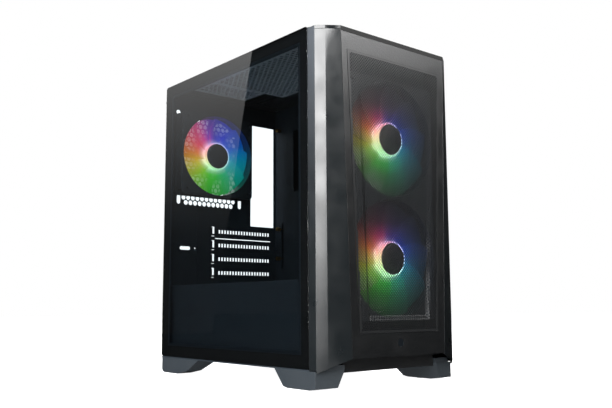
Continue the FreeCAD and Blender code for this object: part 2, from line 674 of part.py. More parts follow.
# ---------------------------------------------------------------- power supply shroud
shroud = joined("shroud_sheet", [
    box("shroud_wall", ("shroud_x", "shroud_x + steel"), ("wall_in", "rear_in"),
        ("floor_top", "shroud_top")),
    box("shroud_roof", ("shroud_x", "tray_x"), ("wall_in", "rear_in"),
        ("shroud_top - steel", "shroud_top")),
])
shroud_cuts = []
for low_y in ("wall_in + 24", "rear_in - 120", "rear_in - 60"):
    shroud_cuts.append(box("cable_way", ("tray_x - 30", "tray_x - 6"), (low_y, low_y + " + 36"),
                           ("shroud_top - steel - 1", "shroud_top + 1")))
for line in range(8):
    low_y = "rear_in - 128 + %d * 13" % line
    shroud_cuts.append(box("shroud_vent", ("vent_x - 62", "vent_x + 26"), (low_y, low_y + " + 5"),
                           ("shroud_top - steel - 1", "shroud_top + 1")))
shroud_cuts.append(box("screw_notch", ("shroud_x - 1", "shroud_x + steel + 1"),
                       ("rear_in - 9", "rear_in + 1"),
                       ("lower_screw - 6", "lower_screw + 6")))
keep(cut("shroud_cut", shroud, shroud_cuts), "psu_shroud")

# ---------------------------------------------------------------- drive cage and trays
place("cage_x", "tray_x - 152")
place("cage_y", "wall_in + 12")
place("cage_top", "floor_top + 66")
cage_parts = [
    box("cage_roof", ("cage_x", "tray_x - 1"), ("cage_y", "cage_y + 110"),
        ("cage_top - steel", "cage_top")),
    box("cage_front", ("cage_x", "tray_x - 1"), ("cage_y", "cage_y + steel"), ("floor_top", "cage_top")),
    box("cage_rear", ("cage_x", "tray_x - 1"), ("cage_y + 110 - steel", "cage_y + 110"),
        ("floor_top", "cage_top")),
    box("cage_stop", ("cage_x", "cage_x + steel"), ("cage_y", "cage_y + 110"),
        ("cage_top - 8", "cage_top")),
]
BAYS = {"lower": "floor_top + 3", "upper": "floor_top + 34"}
for low in BAYS.values():
    for runner in (("cage_y", "cage_y + 5"), ("cage_y + 105", "cage_y + 110")):
        cage_parts.append(box("runner", ("cage_x", "tray_x - 1"), runner,
                              (low + " - 1.3", low + " - 0.3")))
keep(joined("cage", cage_parts), "drive_cage")
for name, low in BAYS.items():
    hollow = box("tray_space", ("cage_x + 4", "tray_x - 2"), ("cage_y + 4", "cage_y + 106"),
                 (low + " + 2", low + " + 30"))
    blank = joined("tray_blank", [
        box("tray_tub", ("cage_x + 2", "tray_x + 2"), ("cage_y + 1.3", "cage_y + 108.7"),
            (low, low + " + 20")),
        box("tray_pull", ("tray_x + 2", "tray_x + 6"), ("cage_y + 30", "cage_y + 80"),
            (low + " + 4", low + " + 16")),
    ])
    keep(cut("tray_" + name, blank, [hollow]), "drive_tray_" + name)

# ---------------------------------------------------------------- solid-state drive bracket
place("ssd_z", "board_top - 152")
ssd = joined("ssd_sheet", [
    box("ssd_plate", ("tray_x + steel + 3", "tray_x + 2 * steel + 3"), ("wall_in + 60", "wall_in + 132"),
        ("ssd_z - 4", "ssd_z + 98")),
    box("ssd_foot_low", ("tray_x + steel", "tray_x + 2 * steel + 3"), ("wall_in + 80", "wall_in + 100"),
        ("ssd_z - 8", "ssd_z - 4")),
    box("ssd_foot_high", ("tray_x + steel", "tray_x + 2 * steel + 3"), ("wall_in + 80", "wall_in + 100"),
        ("ssd_z + 98", "ssd_z + 102")),
])
ssd_holes = []
for dy in ("66", "126"):
    for dz in ("10", "86.6"):
        ssd_holes.append(rod("drive_hole", "x", ("tray_x", "wall_in + " + dy, "ssd_z + " + dz), "1.6",
                             "8"))
keep(cut("ssd_cut", ssd, ssd_holes), "ssd_bracket")

# ---------------------------------------------------------------- fans
# Square frame with a round duct, a motor base on two crossing bars at its rear, and a rotor whose
# shaft turns in the base. The rotors blow to the rear.
RIM = "4"


def fan_frame(node, x, y, z, side, holes):
    bore = "%s / 2 - 1.5" % side
    square_x = ("%s - %s / 2" % (x, side), "%s + %s / 2" % (x, side))
    square_z = ("%s - %s / 2" % (z, side), "%s + %s / 2" % (z, side))
    shell = joined(node + "_shell", [
        box("rim_front", square_x, (y, y + " + " + RIM), square_z),
        box("rim_rear", square_x, ("%s + fan_thick - %s" % (y, RIM), y + " + fan_thick"), square_z),
        rod("duct", "y", (x, y, z), side + " / 2", "fan_thick"),
    ])
    holes_cut = [rod("bore", "y", (x, y + " - 1", z), bore, "fan_thick + 2")]
    for dx in ("-", "+"):
        for dz in ("-", "+"):
            spot = ("%s %s %s / 2" % (x, dx, holes), y + " - 1", "%s %s %s / 2" % (z, dz, holes))
            holes_cut.append(rod("frame_hole", "y", spot, "2.15", "fan_thick + 2"))
    ring = cut(node + "_ring", shell, holes_cut)
    back = ("%s + fan_thick - 3" % y, y + " + fan_thick")
    base = joined(node + "_base", [
        ring,
        box("bar_across", ("%s - %s / 2 + 1" % (x, side), "%s + %s / 2 - 1" % (x, side)), back,
            (z + " - 3", z + " + 3")),
        box("bar_upright", (x + " - 3", x + " + 3"), back,
            ("%s - %s / 2 + 1" % (z, side), "%s + %s / 2 - 1" % (z, side))),
        rod("motor_base", "y", (x, y + " + fan_thick - 3", z), "hub_radius + 1", "3"),
        rod("bearing", "y", (x, y + " + 6", z), "8", "fan_thick - 8"),
    ])
    shaft_bore = rod("shaft_bore", "y", (x, y + " + 5", z), "spindle_radius + 0.05", "fan_thick")
    return keep(cut(node, base, [shaft_bore]), node)


BLADES = 9
BLADE_SECTIONS = (
    # share of the blade's length, turn about the axis, chord, pitch from the fan's plane
    (0.0, 0.0, 15.0, 48.0),
    (0.5, 9.0, 25.0, 36.0),
    (1.0, 22.0, 38.0, 26.0),
)


def rotor_shape(side):
    """A rotor on the Y axis with its front at y = 0."""
    hub, spindle, thick = at("hub_radius"), at("spindle_radius"), at("blade_thick")
    tip = side / 2 - 1.5 - 1.2
    along = V(0, 1, 0)
    cup = Part.makeCylinder(hub, 18.5, V(0, 1.5, 0), along)
    cup = cup.cut(Part.makeCylinder(hub - 2, 18, V(0, 3.5, 0), along))
    cup = cup.fuse(Part.makeCylinder(spindle, at("fan_thick") - 5.5, V(0, 3, 0), along))
    limit = Part.makeCylinder(tip, at("fan_thick"), V(0, 0, 0), along)
    limit = limit.cut(Part.makeCylinder(hub - 1, at("fan_thick"), V(0, 0, 0), along))
    wires = []
    for share, turn, chord, pitch in BLADE_SECTIONS:
        radius = hub - 1.6 + (tip + 2.5 - hub + 1.6) * share
        tangent = V(math.cos(math.radians(pitch)), math.sin(math.radians(pitch)), 0) * (chord / 2)
        normal = V(-math.sin(math.radians(pitch)), math.cos(math.radians(pitch)), 0) * (thick / 2)
        middle = V(0, 12, radius)
        corners = [middle - tangent - normal, middle + tangent - normal, middle + tangent + normal,
                   middle - tangent + normal]
        wire = Part.makePolygon(corners + corners[:1])
        wire.rotate(V(0, 0, 0), along, turn)
        wires.append(wire)
    blade = Part.makeLoft(wires, True, True).common(limit)
    blades = []
    for number in range(BLADES):
        copy = blade.copy()
        copy.rotate(V(0, 0, 0), along, 360.0 * number / BLADES)
        blades.append(copy)
    return cup.multiFuse(blades)


def fan_rotor(node, x, y, z, side):
    rotor = solid(node, rotor_shape(at(side)))
    for axis, name in zip("xyz", (x, y, z)):
        rotor.setExpression("Placement.Base." + axis, bind(name))
    return keep(rotor, node)


fan_frame("rear_fan_frame", "rear_fan_x", "rear_fan_y", "rear_fan_z", "rear_fan", "rear_fan_holes")
fan_rotor("rear_fan_rotor", "rear_fan_x", "rear_fan_y", "rear_fan_z", "rear_fan")
for name, z in (("upper", "high_fan_z"), ("lower", "low_fan_z")):
    fan_frame("front_fan_frame_" + name, "0", "front_fan_y", z, "front_fan", "front_fan_holes")
    fan_rotor("front_fan_rotor_" + name, "0", "front_fan_y", z, "front_fan")
fan_screws = []
SPOTS = [("rear_fan_x", "rear_out", "rear_fan_z", "rear_fan_holes", "-")]
SPOTS += [("0", "wall_in", z, "front_fan_holes", "-") for z in ("high_fan_z", "low_fan_z")]
for x, face, z, spacing, toward in SPOTS:
    for dx in ("-", "+"):
        for dz in ("-", "+"):
            spot_x, spot_z = "%s %s %s / 2" % (x, dx, spacing), "%s %s %s / 2" % (z, dz, spacing)
            shank = rod("fan_shank", "y", (spot_x, face + " - 9", spot_z), "2.1", "9")
            head = rod("fan_head", "y", (spot_x, face, spot_z), "4", "1.8")
            fan_screws.append(joined("fan_screw", [shank, head]))
keep(group("fan_screw_set", fan_screws), "fan_screws")

# ---------------------------------------------------------------- glass side and its steel band
side_y = ("side_front", "rear_in")
pane = body("glass_pane")
pane_outline = [("side_front", "side_low"), ("rear_in", "side_low"), ("rear_in", "height"),
                ("side_front", "height")]
slab = feature(pane, "Pad", "pane", "YZ", pane_outline, "-width / 2", "glass_thick")
doc.recompute()
across = ["Edge%d" % (i + 1) for i, edge in enumerate(slab.Shape.Edges)
          if abs(edge.tangentAt(edge.FirstParameter).x) > 0.99]
rounding = pane.newObject("PartDesign::Fillet", "corners")
rounding.Base = (slab, across)
rounding.Radius = 4
keep(pane, "glass_pane")


def tabs(side, outer, inner, outer_start):
    """The two folded tabs that take a side panel's thumbscrews."""
    pieces = []
    for z in ("upper_screw", "lower_screw"):
        level = (z + " - tab_high / 2", z + " + tab_high / 2")
        if side < 0:
            pieces.append(box("tab_side", (outer, outer_start), ("rear_in - 1", "tab_out"), level))
            pieces.append(box("tab_back", (outer, inner), ("tab_y", "tab_out"), level))
        else:
            pieces.append(box("tab_side", (outer_start, outer), ("rear_in - 1", "tab_out"), level))
            pieces.append(box("tab_back", (inner, outer), ("tab_y", "tab_out"), level))
    return pieces


def tab_holes(side):
    sign = "" if side > 0 else "-"
    return [rod("tab_hole", "y", (sign + "screw_x", "tab_y - 1", z), "shank_radius + 0.35",
                "band_thick + 2")
            for z in ("upper_screw", "lower_screw")]


ring = cut("band_ring", box("band_sheet", ("-band_x", "-band_x + band_thick"), side_y,
                            ("side_low + 2", "height - 2")),
           [box("band_window", ("-band_x - 1", "-band_x + band_thick + 1"),
                ("side_front + band_wide", "rear_in - band_wide"),
                ("side_low + band_wide", "height - band_wide"))])
band = joined("band", [ring] + tabs(-1, "-band_x", "-band_x + tab_wide", "-band_x + band_thick"))
keep(cut("glass_band", band, tab_holes(-1)), "glass_frame")

# ---------------------------------------------------------------- steel right side
shell = cut("side_shell", box("side_block", ("width / 2 - side_fold", "width / 2"), side_y,
                              ("side_low", "height")),
            [box("side_hollow", ("width / 2 - side_fold - 1", "width / 2 - steel"),
                 ("side_front + steel", "rear_in - steel"), ("side_low + steel", "height - steel"))])
right = joined("side_sheet", [shell] + tabs(1, "width / 2", "width / 2 - 4 - tab_wide",
                                            "width / 2 - steel"))
keep(cut("right_side", right, tab_holes(1)), "right_side_panel")

# ---------------------------------------------------------------- thumbscrews
for side, name in ((-1, "left"), (1, "right")):
    x = ("" if side > 0 else "-") + "screw_x"
    for level, z in (("upper", "upper_screw"), ("lower", "lower_screw")):
        stem = rod("stem", "y", (x, "rear_in - 6", z), "shank_radius", "7.5 + slip + steel + band_thick")
        grip = rod("grip", "y", (x, "tab_out + 0.2", z), "grip_radius", "depth / 2 - (tab_out + 0.2)")
        slot = box("driver_slot", (x + " - 6", x + " + 6"), ("depth / 2 - 1.2", "depth / 2 + 1"),
                   (z + " - 0.6", z + " + 0.6"))
        node = "thumbscrew_%s_%s" % (name, level)
        keep(cut(node, joined("screw_blank", [stem, grip]), [slot]), node)

# ---------------------------------------------------------------- front panel: pillars


def centre_half(z):
    """Half width of the front face at a height."""
    return at("centre_top") - at("centre_slope") * (at("roof_top") - z)


def corner_points(z):
    """Plan of the left front corner: start and end of the chamfer, and the end of the facet."""
    return [(-at("pillar_half"), at("strip_front")), (-at("chamfer_half"), at("chamfer_y")),
            (-centre_half(z), at("front_y"))]


def inner_points(points, wall):
    """The same corner moved in by the wall's thickness."""
    normals = []
    for (x0, y0), (x1, y1) in zip(points, points[1:]):
        length = math.hypot(x1 - x0, y1 - y0)
        normals.append(((y0 - y1) / length, (x1 - x0) / length))
    (n0x, n0y), (n1x, n1y) = normals
    first_x = points[0][0] + wall
    first_y = points[0][1] + (wall - wall * n0x) / n0y
    share = wall / (1 + n0x * n1x + n0y * n1y)
    second = (points[1][0] + (n0x + n1x) * share, points[1][1] + (n0y + n1y) * share)
    third = (points[2][0], points[2][1] + wall / n1y)
    return [(first_x, first_y), second, third]


def lower_edge(x, y):
    """Height of the pillar's sloping lower edge, a plane through its three corners."""
    p1, p2, p3 = corner_points(at("lip_height"))
    rise2 = at("sill_step")
    rise3 = at("lip_height") - at("sill_height")
    ax, ay = p2[0] - p1[0], p2[1] - p1[1]
    bx, by = p3[0] - p1[0], p3[1] - p1[1]
    scale = ax * by - ay * bx
    slope_x = (rise2 * by - rise3 * ay) / scale
    slope_y = (ax * rise3 - bx * rise2) / scale
    return at("sill_height") + slope_x * (x - p1[0]) + slope_y * (y - p1[1])


def pillar_shape():
    wall = at("skin")
    top = at("cap_low")
    wires = []
    for z in (at("lip_height"), top):
        outside = corner_points(z)
        loop = outside + inner_points(outside, wall)[::-1]
        corners = [V(x, y, top if z == top else lower_edge(x, y)) for x, y in loop]
        wires.append(Part.makePolygon(corners + corners[:1]))
    front = Part.makeLoft(wires, True, True)
    strip_low = at("foot_height") + 0.7
    strip = Part.makeBox(wall, at("strip_depth"), at("roof_top") - strip_low,
                         V(-at("pillar_half"), at("strip_front"), strip_low))
    return front.fuse(strip).removeSplitter()


left_pillar = solid("pillar_left", pillar_shape())
keep(left_pillar, "front_pillar_left")
right_pillar = doc.addObject("Part::Mirroring", "pillar_right")
right_pillar.Source = left_pillar
right_pillar.Base = V(0, 0, 0)
right_pillar.Normal = V(1, 0, 0)
keep(right_pillar, "front_pillar_right")

# Snap clips from the pillars into the front wall. Each starts on the facet's inner face, where the
# slanting wall is 1.08 times its thickness from front to back.
CLIP_ROOT = "chamfer_y + 1.08 * skin - 1.1"
clips = []
for clip_z in CLIP_HEIGHTS:
    for sign in ("", "-"):
        x = (sign + "clip_x - 2.5", sign + "clip_x + 2.5")
        stalk = box("clip_stalk", x, (CLIP_ROOT, "wall_y + 4"), (clip_z + " - 3.5", clip_z + " + 3.5"))
        clips.append(stalk)
keep(group("clips", clips), "front_clips")

# ---------------------------------------------------------------- front panel: bezel
bezel = body("front_bezel")
SEAM = "0.4"
outline = mirror_x([("centre_low - " + SEAM, "lip_height"), ("brow_half - " + SEAM, "brow_low")])
feature(bezel, "Pad", "face", "XZ", outline, "front_y", "28")
hollow = mirror_x([("centre_low - %s - skin" % SEAM, "lip_height + skin"),
                   ("brow_half - %s - skin" % SEAM, "brow_low - skin")])
feature(bezel, "Pocket", "hollow", "XZ", hollow, "front_y + skin", "40")
window = mirror_x([("mesh_low + 0.2", "mesh_foot - 0.2"), ("mesh_top + 0.2", "mesh_head + 0.2")])
feature(bezel, "Pocket", "window", "XZ", window, "front_y - 1", "20")
place("badge_z", "(lip_height + mesh_foot) / 2 + 1.5")
feature(bezel, "Pocket", "badge_seat", "XZ", ("0", "badge_z", "badge_radius + 0.1"), "front_y - 1",
        "1 + badge_thick")
keep(bezel, "front_bezel")
keep(rod("badge", "y", ("0", "front_y", "badge_z"), "badge_radius", "badge_thick"), "front_badge")

# ---------------------------------------------------------------- front panel: perforated sheet


def mesh_shape():
    """Sheet with a pressed recess that deepens from nothing at its head to its foot."""
    front, thick, depth = at("front_y"), at("mesh_thick"), at("mesh_recess")
    low, high = at("mesh_foot"), at("mesh_head")
    low_half, high_half = at("mesh_low"), at("mesh_top")

    def trapezium(inset, y0, y1):
        corners = [(-low_half + inset, low + inset), (low_half - inset, low + inset),
                   (high_half - inset, high - inset), (-high_half + inset, high - inset)]
        face = Part.Face(Part.makePolygon([V(x, y0, z) for x, z in corners + corners[:1]]))
        return face.extrude(V(0, y1 - y0, 0))

    def wedge(inset, shift):
        head, foot = high - inset, low + inset
        side = [V(-high_half, front - 1, head), V(-high_half, front - 1, foot),
                V(-high_half, front + depth + shift, foot), V(-high_half, front + shift, head)]
        slab = Part.Face(Part.makePolygon(side + side[:1])).extrude(V(2 * high_half, 0, 0))
        return slab.common(trapezium(inset, front - 2, front + depth + shift + 1))

    inset = at("recess_inset")
    pressed = wedge(inset - thick, thick).fuse(trapezium(0, front, front + thick))
    return pressed.common(trapezium(0, front, front + depth + 3)).cut(wedge(inset,
                                                                            0.001)).removeSplitter()


keep(solid("mesh", mesh_shape()), "front_mesh")

# ---------------------------------------------------------------- front panel: cap and skirt
cap = body("front_cap")
cap_outline = mirror_x([("pillar_half - skin", "side_front - slip"), ("pillar_half - skin", "strip_front"),
                        ("pillar_half", "strip_front"), ("chamfer_half", "chamfer_y"), ("centre_top",
                                                                                        "front_y")])
feature(cap, "Pad", "plate", "XY", cap_outline, "cap_low", "cap_thick")
brow = mirror_x([("brow_half - 0.2", "front_y + skin"), ("brow_half - 0.2", "front_y")])
feature(cap, "Pad", "brow", "XY", brow, "brow_low", "brow_high - cap_thick")
keep(cap, "front_cap")
keep(box("skirt", ("-centre_low + 1.7", "centre_low - 1.7"), ("front_y + 17", "front_y + 25"),
         ("lip_height - 15.5", "lip_height")), "front_skirt")

# ---------------------------------------------------------------- front sockets on the roof
place("io_top", "roof_top + 0.8")
POWER_X, RESET_X, AUDIO_X, USB_XS = "-36", "-18", "-4", ("14", "34")
place("io_mid", "(io_y0 + io_y1) / 2")
place("io_board_z", "roof_z - 16")
io_plate = joined("io_blank", [
    box("io_block", ("-%s + slip" % IO_HALF, IO_HALF + " - slip"), ("io_y0 + slip", "io_y1 - slip"),
        ("roof_z - 8", "roof_top")),
    box("io_rim", ("-%s - 2" % IO_HALF, IO_HALF + " + 2"), ("io_y0 - 2", "io_y1 + 2"),
        ("roof_top", "io_top")),
    box("io_post_left", ("-48", "-44"), ("io_mid - 3", "io_mid + 3"), ("io_board_z + 1.6", "roof_z - 7")),
    box("io_post_right", ("44", "48"), ("io_mid - 3", "io_mid + 3"), ("io_board_z + 1.6", "roof_z - 7")),
])
io_cuts = [
    rod("power_bore", "z", (POWER_X, "io_mid", "roof_z - 9"), "6.3", "20"),
    rod("reset_bore", "z", (RESET_X, "io_mid", "roof_z - 9"), "3.3", "20"),
    rod("audio_bore", "z", (AUDIO_X, "io_mid", "roof_z - 9"), "4.1", "20"),
]
for usb_x in USB_XS:
    io_cuts.append(box("usb_way", (usb_x + " - 7", usb_x + " + 7"), ("io_mid - 3.4", "io_mid + 3.4"),
                       ("roof_z - 9", "io_top + 1")))
keep(cut("io_plate", io_plate, io_cuts), "io_bezel")
keep(box("io_card", ("-49", "49"), ("io_y0 + 1", "io_y1 - 1"), ("io_board_z", "io_board_z + 1.6")),
     "io_board")
usb = []
for usb_x in USB_XS:
    shell = box("usb_shell", (usb_x + " - 6.6", usb_x + " + 6.6"), ("io_mid - 2.85", "io_mid + 2.85"),
                ("io_board_z + 1.6", "io_top - 0.6"))
    mouth = box("usb_mouth", (usb_x + " - 6.1", usb_x + " + 6.1"), ("io_mid - 2.35", "io_mid + 2.35"),
                ("io_top - 9.5", "io_top"))
    tongue = box("usb_tongue", (usb_x + " - 5.5", usb_x + " + 5.5"), ("io_mid - 1.9", "io_mid - 0.2"),
                 ("io_top - 10", "io_top - 1.6"))
    usb.append(joined("usb", [cut("usb_can", shell, [mouth]), tongue]))
keep(group("usb_pair", usb), "usb_sockets")
keep(cut("jack", rod("jack_body", "z", (AUDIO_X, "io_mid", "io_board_z + 1.6"), "4",
                     "io_top - 0.5 - io_board_z - 1.6"),
         [rod("jack_bore", "z", (AUDIO_X, "io_mid", "io_board_z + 4"), "1.8", "20")]), "audio_socket")
BUTTONS = {"power": (POWER_X, "6", "1.0"), "reset": (RESET_X, "3", "0.4")}
switches = []
for name, (x, radius, proud) in BUTTONS.items():
    stem = rod("button_stem", "z", (x, "io_mid", "io_board_z + 6.6 + slip"), "1.6", "6")
    key = rod("button_key", "z", (x, "io_mid", "roof_z - 4"), radius,
              "io_top + %s - (roof_z - 4)" % proud)
    flare = rod("button_flare", "z", (x, "io_mid", "roof_z - 9.1 + 1"), "1.6", "5")
    keep(joined(name + "_button", [stem, flare, key]), name + "_button")
    switches.append(box("switch_body", (x + " - 3", x + " + 3"), ("io_mid - 3", "io_mid + 3"),
                        ("io_board_z + 1.6", "io_board_z + 5.6")))
keep(group("switch_pair", switches), "tact_switches")

# ---------------------------------------------------------------- dust filters
place("filter_x0", "-width / 2 + 28")
place("filter_x1", "tray_x - 36")
place("filter_y0", "io_y1 + 6")
place("filter_y1", "rear_in - 22")
top_filter = body("top_filter")
FILTER_RIM = "7"


def filter_outline(shrink):
    low_x, high_x = "filter_x0 + " + shrink, "filter_x1 - " + shrink
    low_y, high_y = "filter_y0 + " + shrink, "filter_y1 - " + shrink
    return [(low_x, low_y), (high_x, low_y), (high_x, high_y), (low_x, high_y)]


feature(top_filter, "Pad", "sheet", "XY", filter_outline("0"), "roof_top + 0.2", "1.5")
feature(top_filter, "Pocket", "step", "XY", filter_outline(FILTER_RIM), "roof_top + 0.8", "2")
keep(top_filter, "top_dust_filter")
supply_filter = body("psu_filter")
low_x, high_x = "vent_x - 62", "vent_x + 62"
low_y, high_y = "vent_y - 64", "rear_out"
frame_outline = [(low_x, low_y), (high_x, low_y), (high_x, high_y), (low_x, high_y)]
feature(supply_filter, "Pad", "frame", "XY", frame_outline, "foot_height - 3.7", "3.4")
pull = [("vent_x - 20", high_y), ("vent_x + 20", high_y), ("vent_x + 16", high_y + " + 8"),
        ("vent_x - 16", high_y + " + 8")]
feature(supply_filter, "Pad", "pull", "XY", pull, "foot_height - 3.7", "2")
low_x, high_x = "vent_x - 56", "vent_x + 56"
low_y, high_y = "vent_y - 58", "vent_y + 58"
step_outline = [(low_x, low_y), (high_x, low_y), (high_x, high_y), (low_x, high_y)]
feature(supply_filter, "Pocket", "step", "XY", step_outline, "foot_height - 2.9", "5")
keep(supply_filter, "psu_dust_filter")

# ---------------------------------------------------------------- check and write
doc.recompute()
for piece in doc.Objects:
    faults = [state for state in piece.State if state in ("Invalid", "Error")]
    if faults:
        raise RuntimeError("%s (%s) is %s" % (piece.Name, piece.Label, ", ".join(faults)))
    if piece.isDerivedFrom("PartDesign::Pocket"):
        removed = piece.BaseFeature.Shape.Volume - piece.Shape.Volume
        if removed < 0.1:
            raise RuntimeError("%s (%s) cuts nothing" % (piece.Name, piece.Label))
os.makedirs("parts", exist_ok=True)
for piece in finished:
    shape = piece.Shape
    if shape.isNull() or not shape.isValid():
        raise RuntimeError("%s has no valid shape" % piece.Label)
    shape.exportStep("parts/%s.step" % piece.Label)
    corner_box = shape.BoundBox
    print("%-26s %2d solid(s) %10.0f mm3  x %.1f..%.1f  y %.1f..%.1f  z %.1f..%.1f" % (
        piece.Label, len(shape.Solids), shape.Volume, corner_box.XMin, corner_box.XMax,
        corner_box.YMin, corner_box.YMax, corner_box.ZMin, corner_box.ZMax))
print("%d sub-parts" % len(finished))
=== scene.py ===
import math

import bmesh
import bpy
from mathutils import Matrix, Vector


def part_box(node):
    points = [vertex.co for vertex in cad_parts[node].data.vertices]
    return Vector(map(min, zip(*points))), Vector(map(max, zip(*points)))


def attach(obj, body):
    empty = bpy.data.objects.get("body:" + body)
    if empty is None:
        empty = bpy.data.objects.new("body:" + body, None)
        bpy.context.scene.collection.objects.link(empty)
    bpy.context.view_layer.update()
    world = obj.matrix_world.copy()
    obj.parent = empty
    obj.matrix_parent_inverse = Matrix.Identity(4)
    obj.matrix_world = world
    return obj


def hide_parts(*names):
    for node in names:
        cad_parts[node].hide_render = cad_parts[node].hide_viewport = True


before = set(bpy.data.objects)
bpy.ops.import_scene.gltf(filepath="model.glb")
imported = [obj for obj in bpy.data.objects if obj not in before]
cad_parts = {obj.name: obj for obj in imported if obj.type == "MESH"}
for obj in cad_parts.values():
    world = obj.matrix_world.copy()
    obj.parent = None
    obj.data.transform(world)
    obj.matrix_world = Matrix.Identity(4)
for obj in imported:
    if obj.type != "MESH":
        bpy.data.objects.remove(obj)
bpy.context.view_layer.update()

# ---- Camera ------------------------------------------------------------------------------
# Low and close, off the glass side's front corner, looking slightly up.
# The lens is a short telephoto, so the upright edges stay nearly parallel.
EYE = Vector((-0.6316, -0.7738, 0.0901))
YAW, PITCH, ROLL = math.radians(39.735), math.radians(7.666), -0.005

forward = Vector((math.sin(YAW) * math.cos(PITCH), math.cos(YAW) * math.cos(PITCH), math.sin(PITCH)))
level = forward.cross(Vector((0, 0, 1))).normalized()
plumb = level.cross(forward)
right = level * math.cos(ROLL) + plumb * math.sin(ROLL)
above = plumb * math.cos(ROLL) - level * math.sin(ROLL)
lens = bpy.data.cameras.new("camera")
lens.lens, lens.sensor_width = 44.29, 36
lens.clip_start, lens.clip_end = 0.01, 100
camera = bpy.data.objects.new("camera", lens)
camera.matrix_world = Matrix.Translation(EYE) @ Matrix((right, above, -forward)).transposed().to_4x4()
bpy.context.scene.collection.objects.link(camera)
bpy.context.scene.camera = camera
bpy.context.scene.view_settings.view_transform = "Standard"


# ---- Stage and light -----------------------------------------------------------------------
# A white floor that runs out of sight, and a white surround that only the eye sees, directly or
# through glass: what the case mirrors is a dark studio with softboxes.


def linear(code):
    """An sRGB hex colour as the linear values that shaders take."""
    parts = [int(code[i:i + 2], 16) / 255 for i in (1, 3, 5)]
    return [c / 12.92 if c <= 0.04045 else ((c + 0.055) / 1.055) ** 2.4 for c in parts] + [1.0]


def add_node(tree, kind, values=None, links=None, **settings):
    """Adds a node with its settings, its sockets' values and the sources of its sockets."""
    made = tree.nodes.new("ShaderNode" + kind)
    for name, value in settings.items():
        setattr(made, name, value)
    for socket, value in (values or {}).items():
        made.inputs[socket].default_value = value
    for socket, source in (links or {}).items():
        tree.links.new(source, made.inputs[socket])
    return made


def new_material(name):
    """An empty material, and its node tree."""
    made = bpy.data.materials.new(name)
    made.use_nodes = True
    made.node_tree.nodes.clear()
    return made, made.node_tree


def lit_from_below(tree):
    """One for light that comes back from a matt surface, and nothing for mirrored light."""
    path = add_node(tree, "LightPath")
    matt_path = add_node(tree, "Math", {1: 1.0}, {0: path.outputs["Diffuse Depth"]}, operation="MINIMUM")
    kept = add_node(tree, "Math", links={0: matt_path.outputs[0], 1: path.outputs["Glossy Depth"]},
                    operation="SUBTRACT", use_clamp=True)
    return kept.outputs[0]


def seen_directly(tree):
    """Whether the eye looks straight or through glass and not by way of a surface, and whether
    it looks through glass."""
    path = add_node(tree, "LightPath")
    looked = add_node(tree, "Math", operation="ADD", use_clamp=True,
                      links={0: path.outputs["Is Camera Ray"], 1: path.outputs["Is Transmission Ray"]})
    bounced = add_node(tree, "Math", operation="ADD", use_clamp=True,
                       links={0: path.outputs["Diffuse Depth"], 1: path.outputs["Glossy Depth"]})
    seen = add_node(tree, "Math", operation="SUBTRACT", use_clamp=True,
                    links={0: looked.outputs[0], 1: bounced.outputs[0]})
    return seen.outputs[0], path.outputs["Is Transmission Ray"]


SURROUND_SEEN, SURROUND_THROUGH_GLASS, SURROUND_MIRRORED = 1.0, 3.0, 0.014

world = bpy.data.worlds.new("surround")
bpy.context.scene.world = world
world.use_nodes = True
sky = world.node_tree
sky.nodes.clear()
direct, through_glass = seen_directly(sky)
glow = add_node(sky, "Mix", {2: SURROUND_SEEN, 3: SURROUND_THROUGH_GLASS}, {0: through_glass})
level_seen = add_node(sky, "Mix", {2: SURROUND_MIRRORED}, {0: direct, 3: glow.outputs[0]})
surround = add_node(sky, "Background", {"Color": (1, 1, 1, 1)}, {"Strength": level_seen.outputs[0]})
add_node(sky, "OutputWorld", links={"Surface": surround.outputs[0]})

FLOOR_HALF, FLOOR_GLOW = 6.0, 2.2
floor_paint, tree = new_material("white_floor_paint")
direct, through_glass = seen_directly(tree)
matt = add_node(tree, "BsdfDiffuse", {"Color": linear("#f2f2f2")})
bounce = add_node(tree, "LightPath")
floor_tone = add_node(tree, "Mix", {6: linear("#c0c0c0"), 7: linear("#151516")},
                      {0: bounce.outputs["Is Glossy Ray"]}, data_type="RGBA")
dull = add_node(tree, "BsdfDiffuse", links={"Color": floor_tone.outputs[2]})
lift = add_node(tree, "Emission", {"Color": (1, 1, 1, 1), "Strength": 1.0})
lit = add_node(tree, "AddShader", links={0: matt.outputs[0], 1: lift.outputs[0]})
either = add_node(tree, "MixShader", links={0: direct, 1: dull.outputs[0], 2: lit.outputs[0]})
below = add_node(tree, "Math", {1: FLOOR_GLOW}, {0: lit_from_below(tree)}, operation="MULTIPLY")
glowing = add_node(tree, "Emission", {"Color": (1, 1, 1, 1)}, {"Strength": below.outputs[0]})
whole_floor = add_node(tree, "AddShader", links={0: either.outputs[0], 1: glowing.outputs[0]})
add_node(tree, "OutputMaterial", links={"Surface": whole_floor.outputs[0]})

floor_mesh = bpy.data.meshes.new("floor")
shell = bmesh.new()
bmesh.ops.create_grid(shell, x_segments=1, y_segments=1, size=FLOOR_HALF)
shell.to_mesh(floor_mesh)
shell.free()
floor_mesh.materials.append(floor_paint)
floor = bpy.data.objects.new("floor", floor_mesh)
bpy.context.scene.collection.objects.link(floor)

CASE_MIDDLE = Vector((0, -0.05, 0.21))


def softbox(name, place, aim, wide, high, radiance, tint="#ffffff"):
    """A rectangular light of a given radiance, which the eye can't see."""
    lamp = bpy.data.lights.new(name, "AREA")
    lamp.shape, lamp.size, lamp.size_y = "RECTANGLE", wide, high
    lamp.energy = radiance * math.pi * wide * high
    lamp.color = linear(tint)[:3]
    box = bpy.data.objects.new(name, lamp)
    turned = (aim - place).to_track_quat("-Z", "Y").to_matrix().to_4x4()
    box.matrix_world = Matrix.Translation(place) @ turned
    box.visible_camera = False
    box.visible_transmission = False
    bpy.context.scene.collection.objects.link(box)


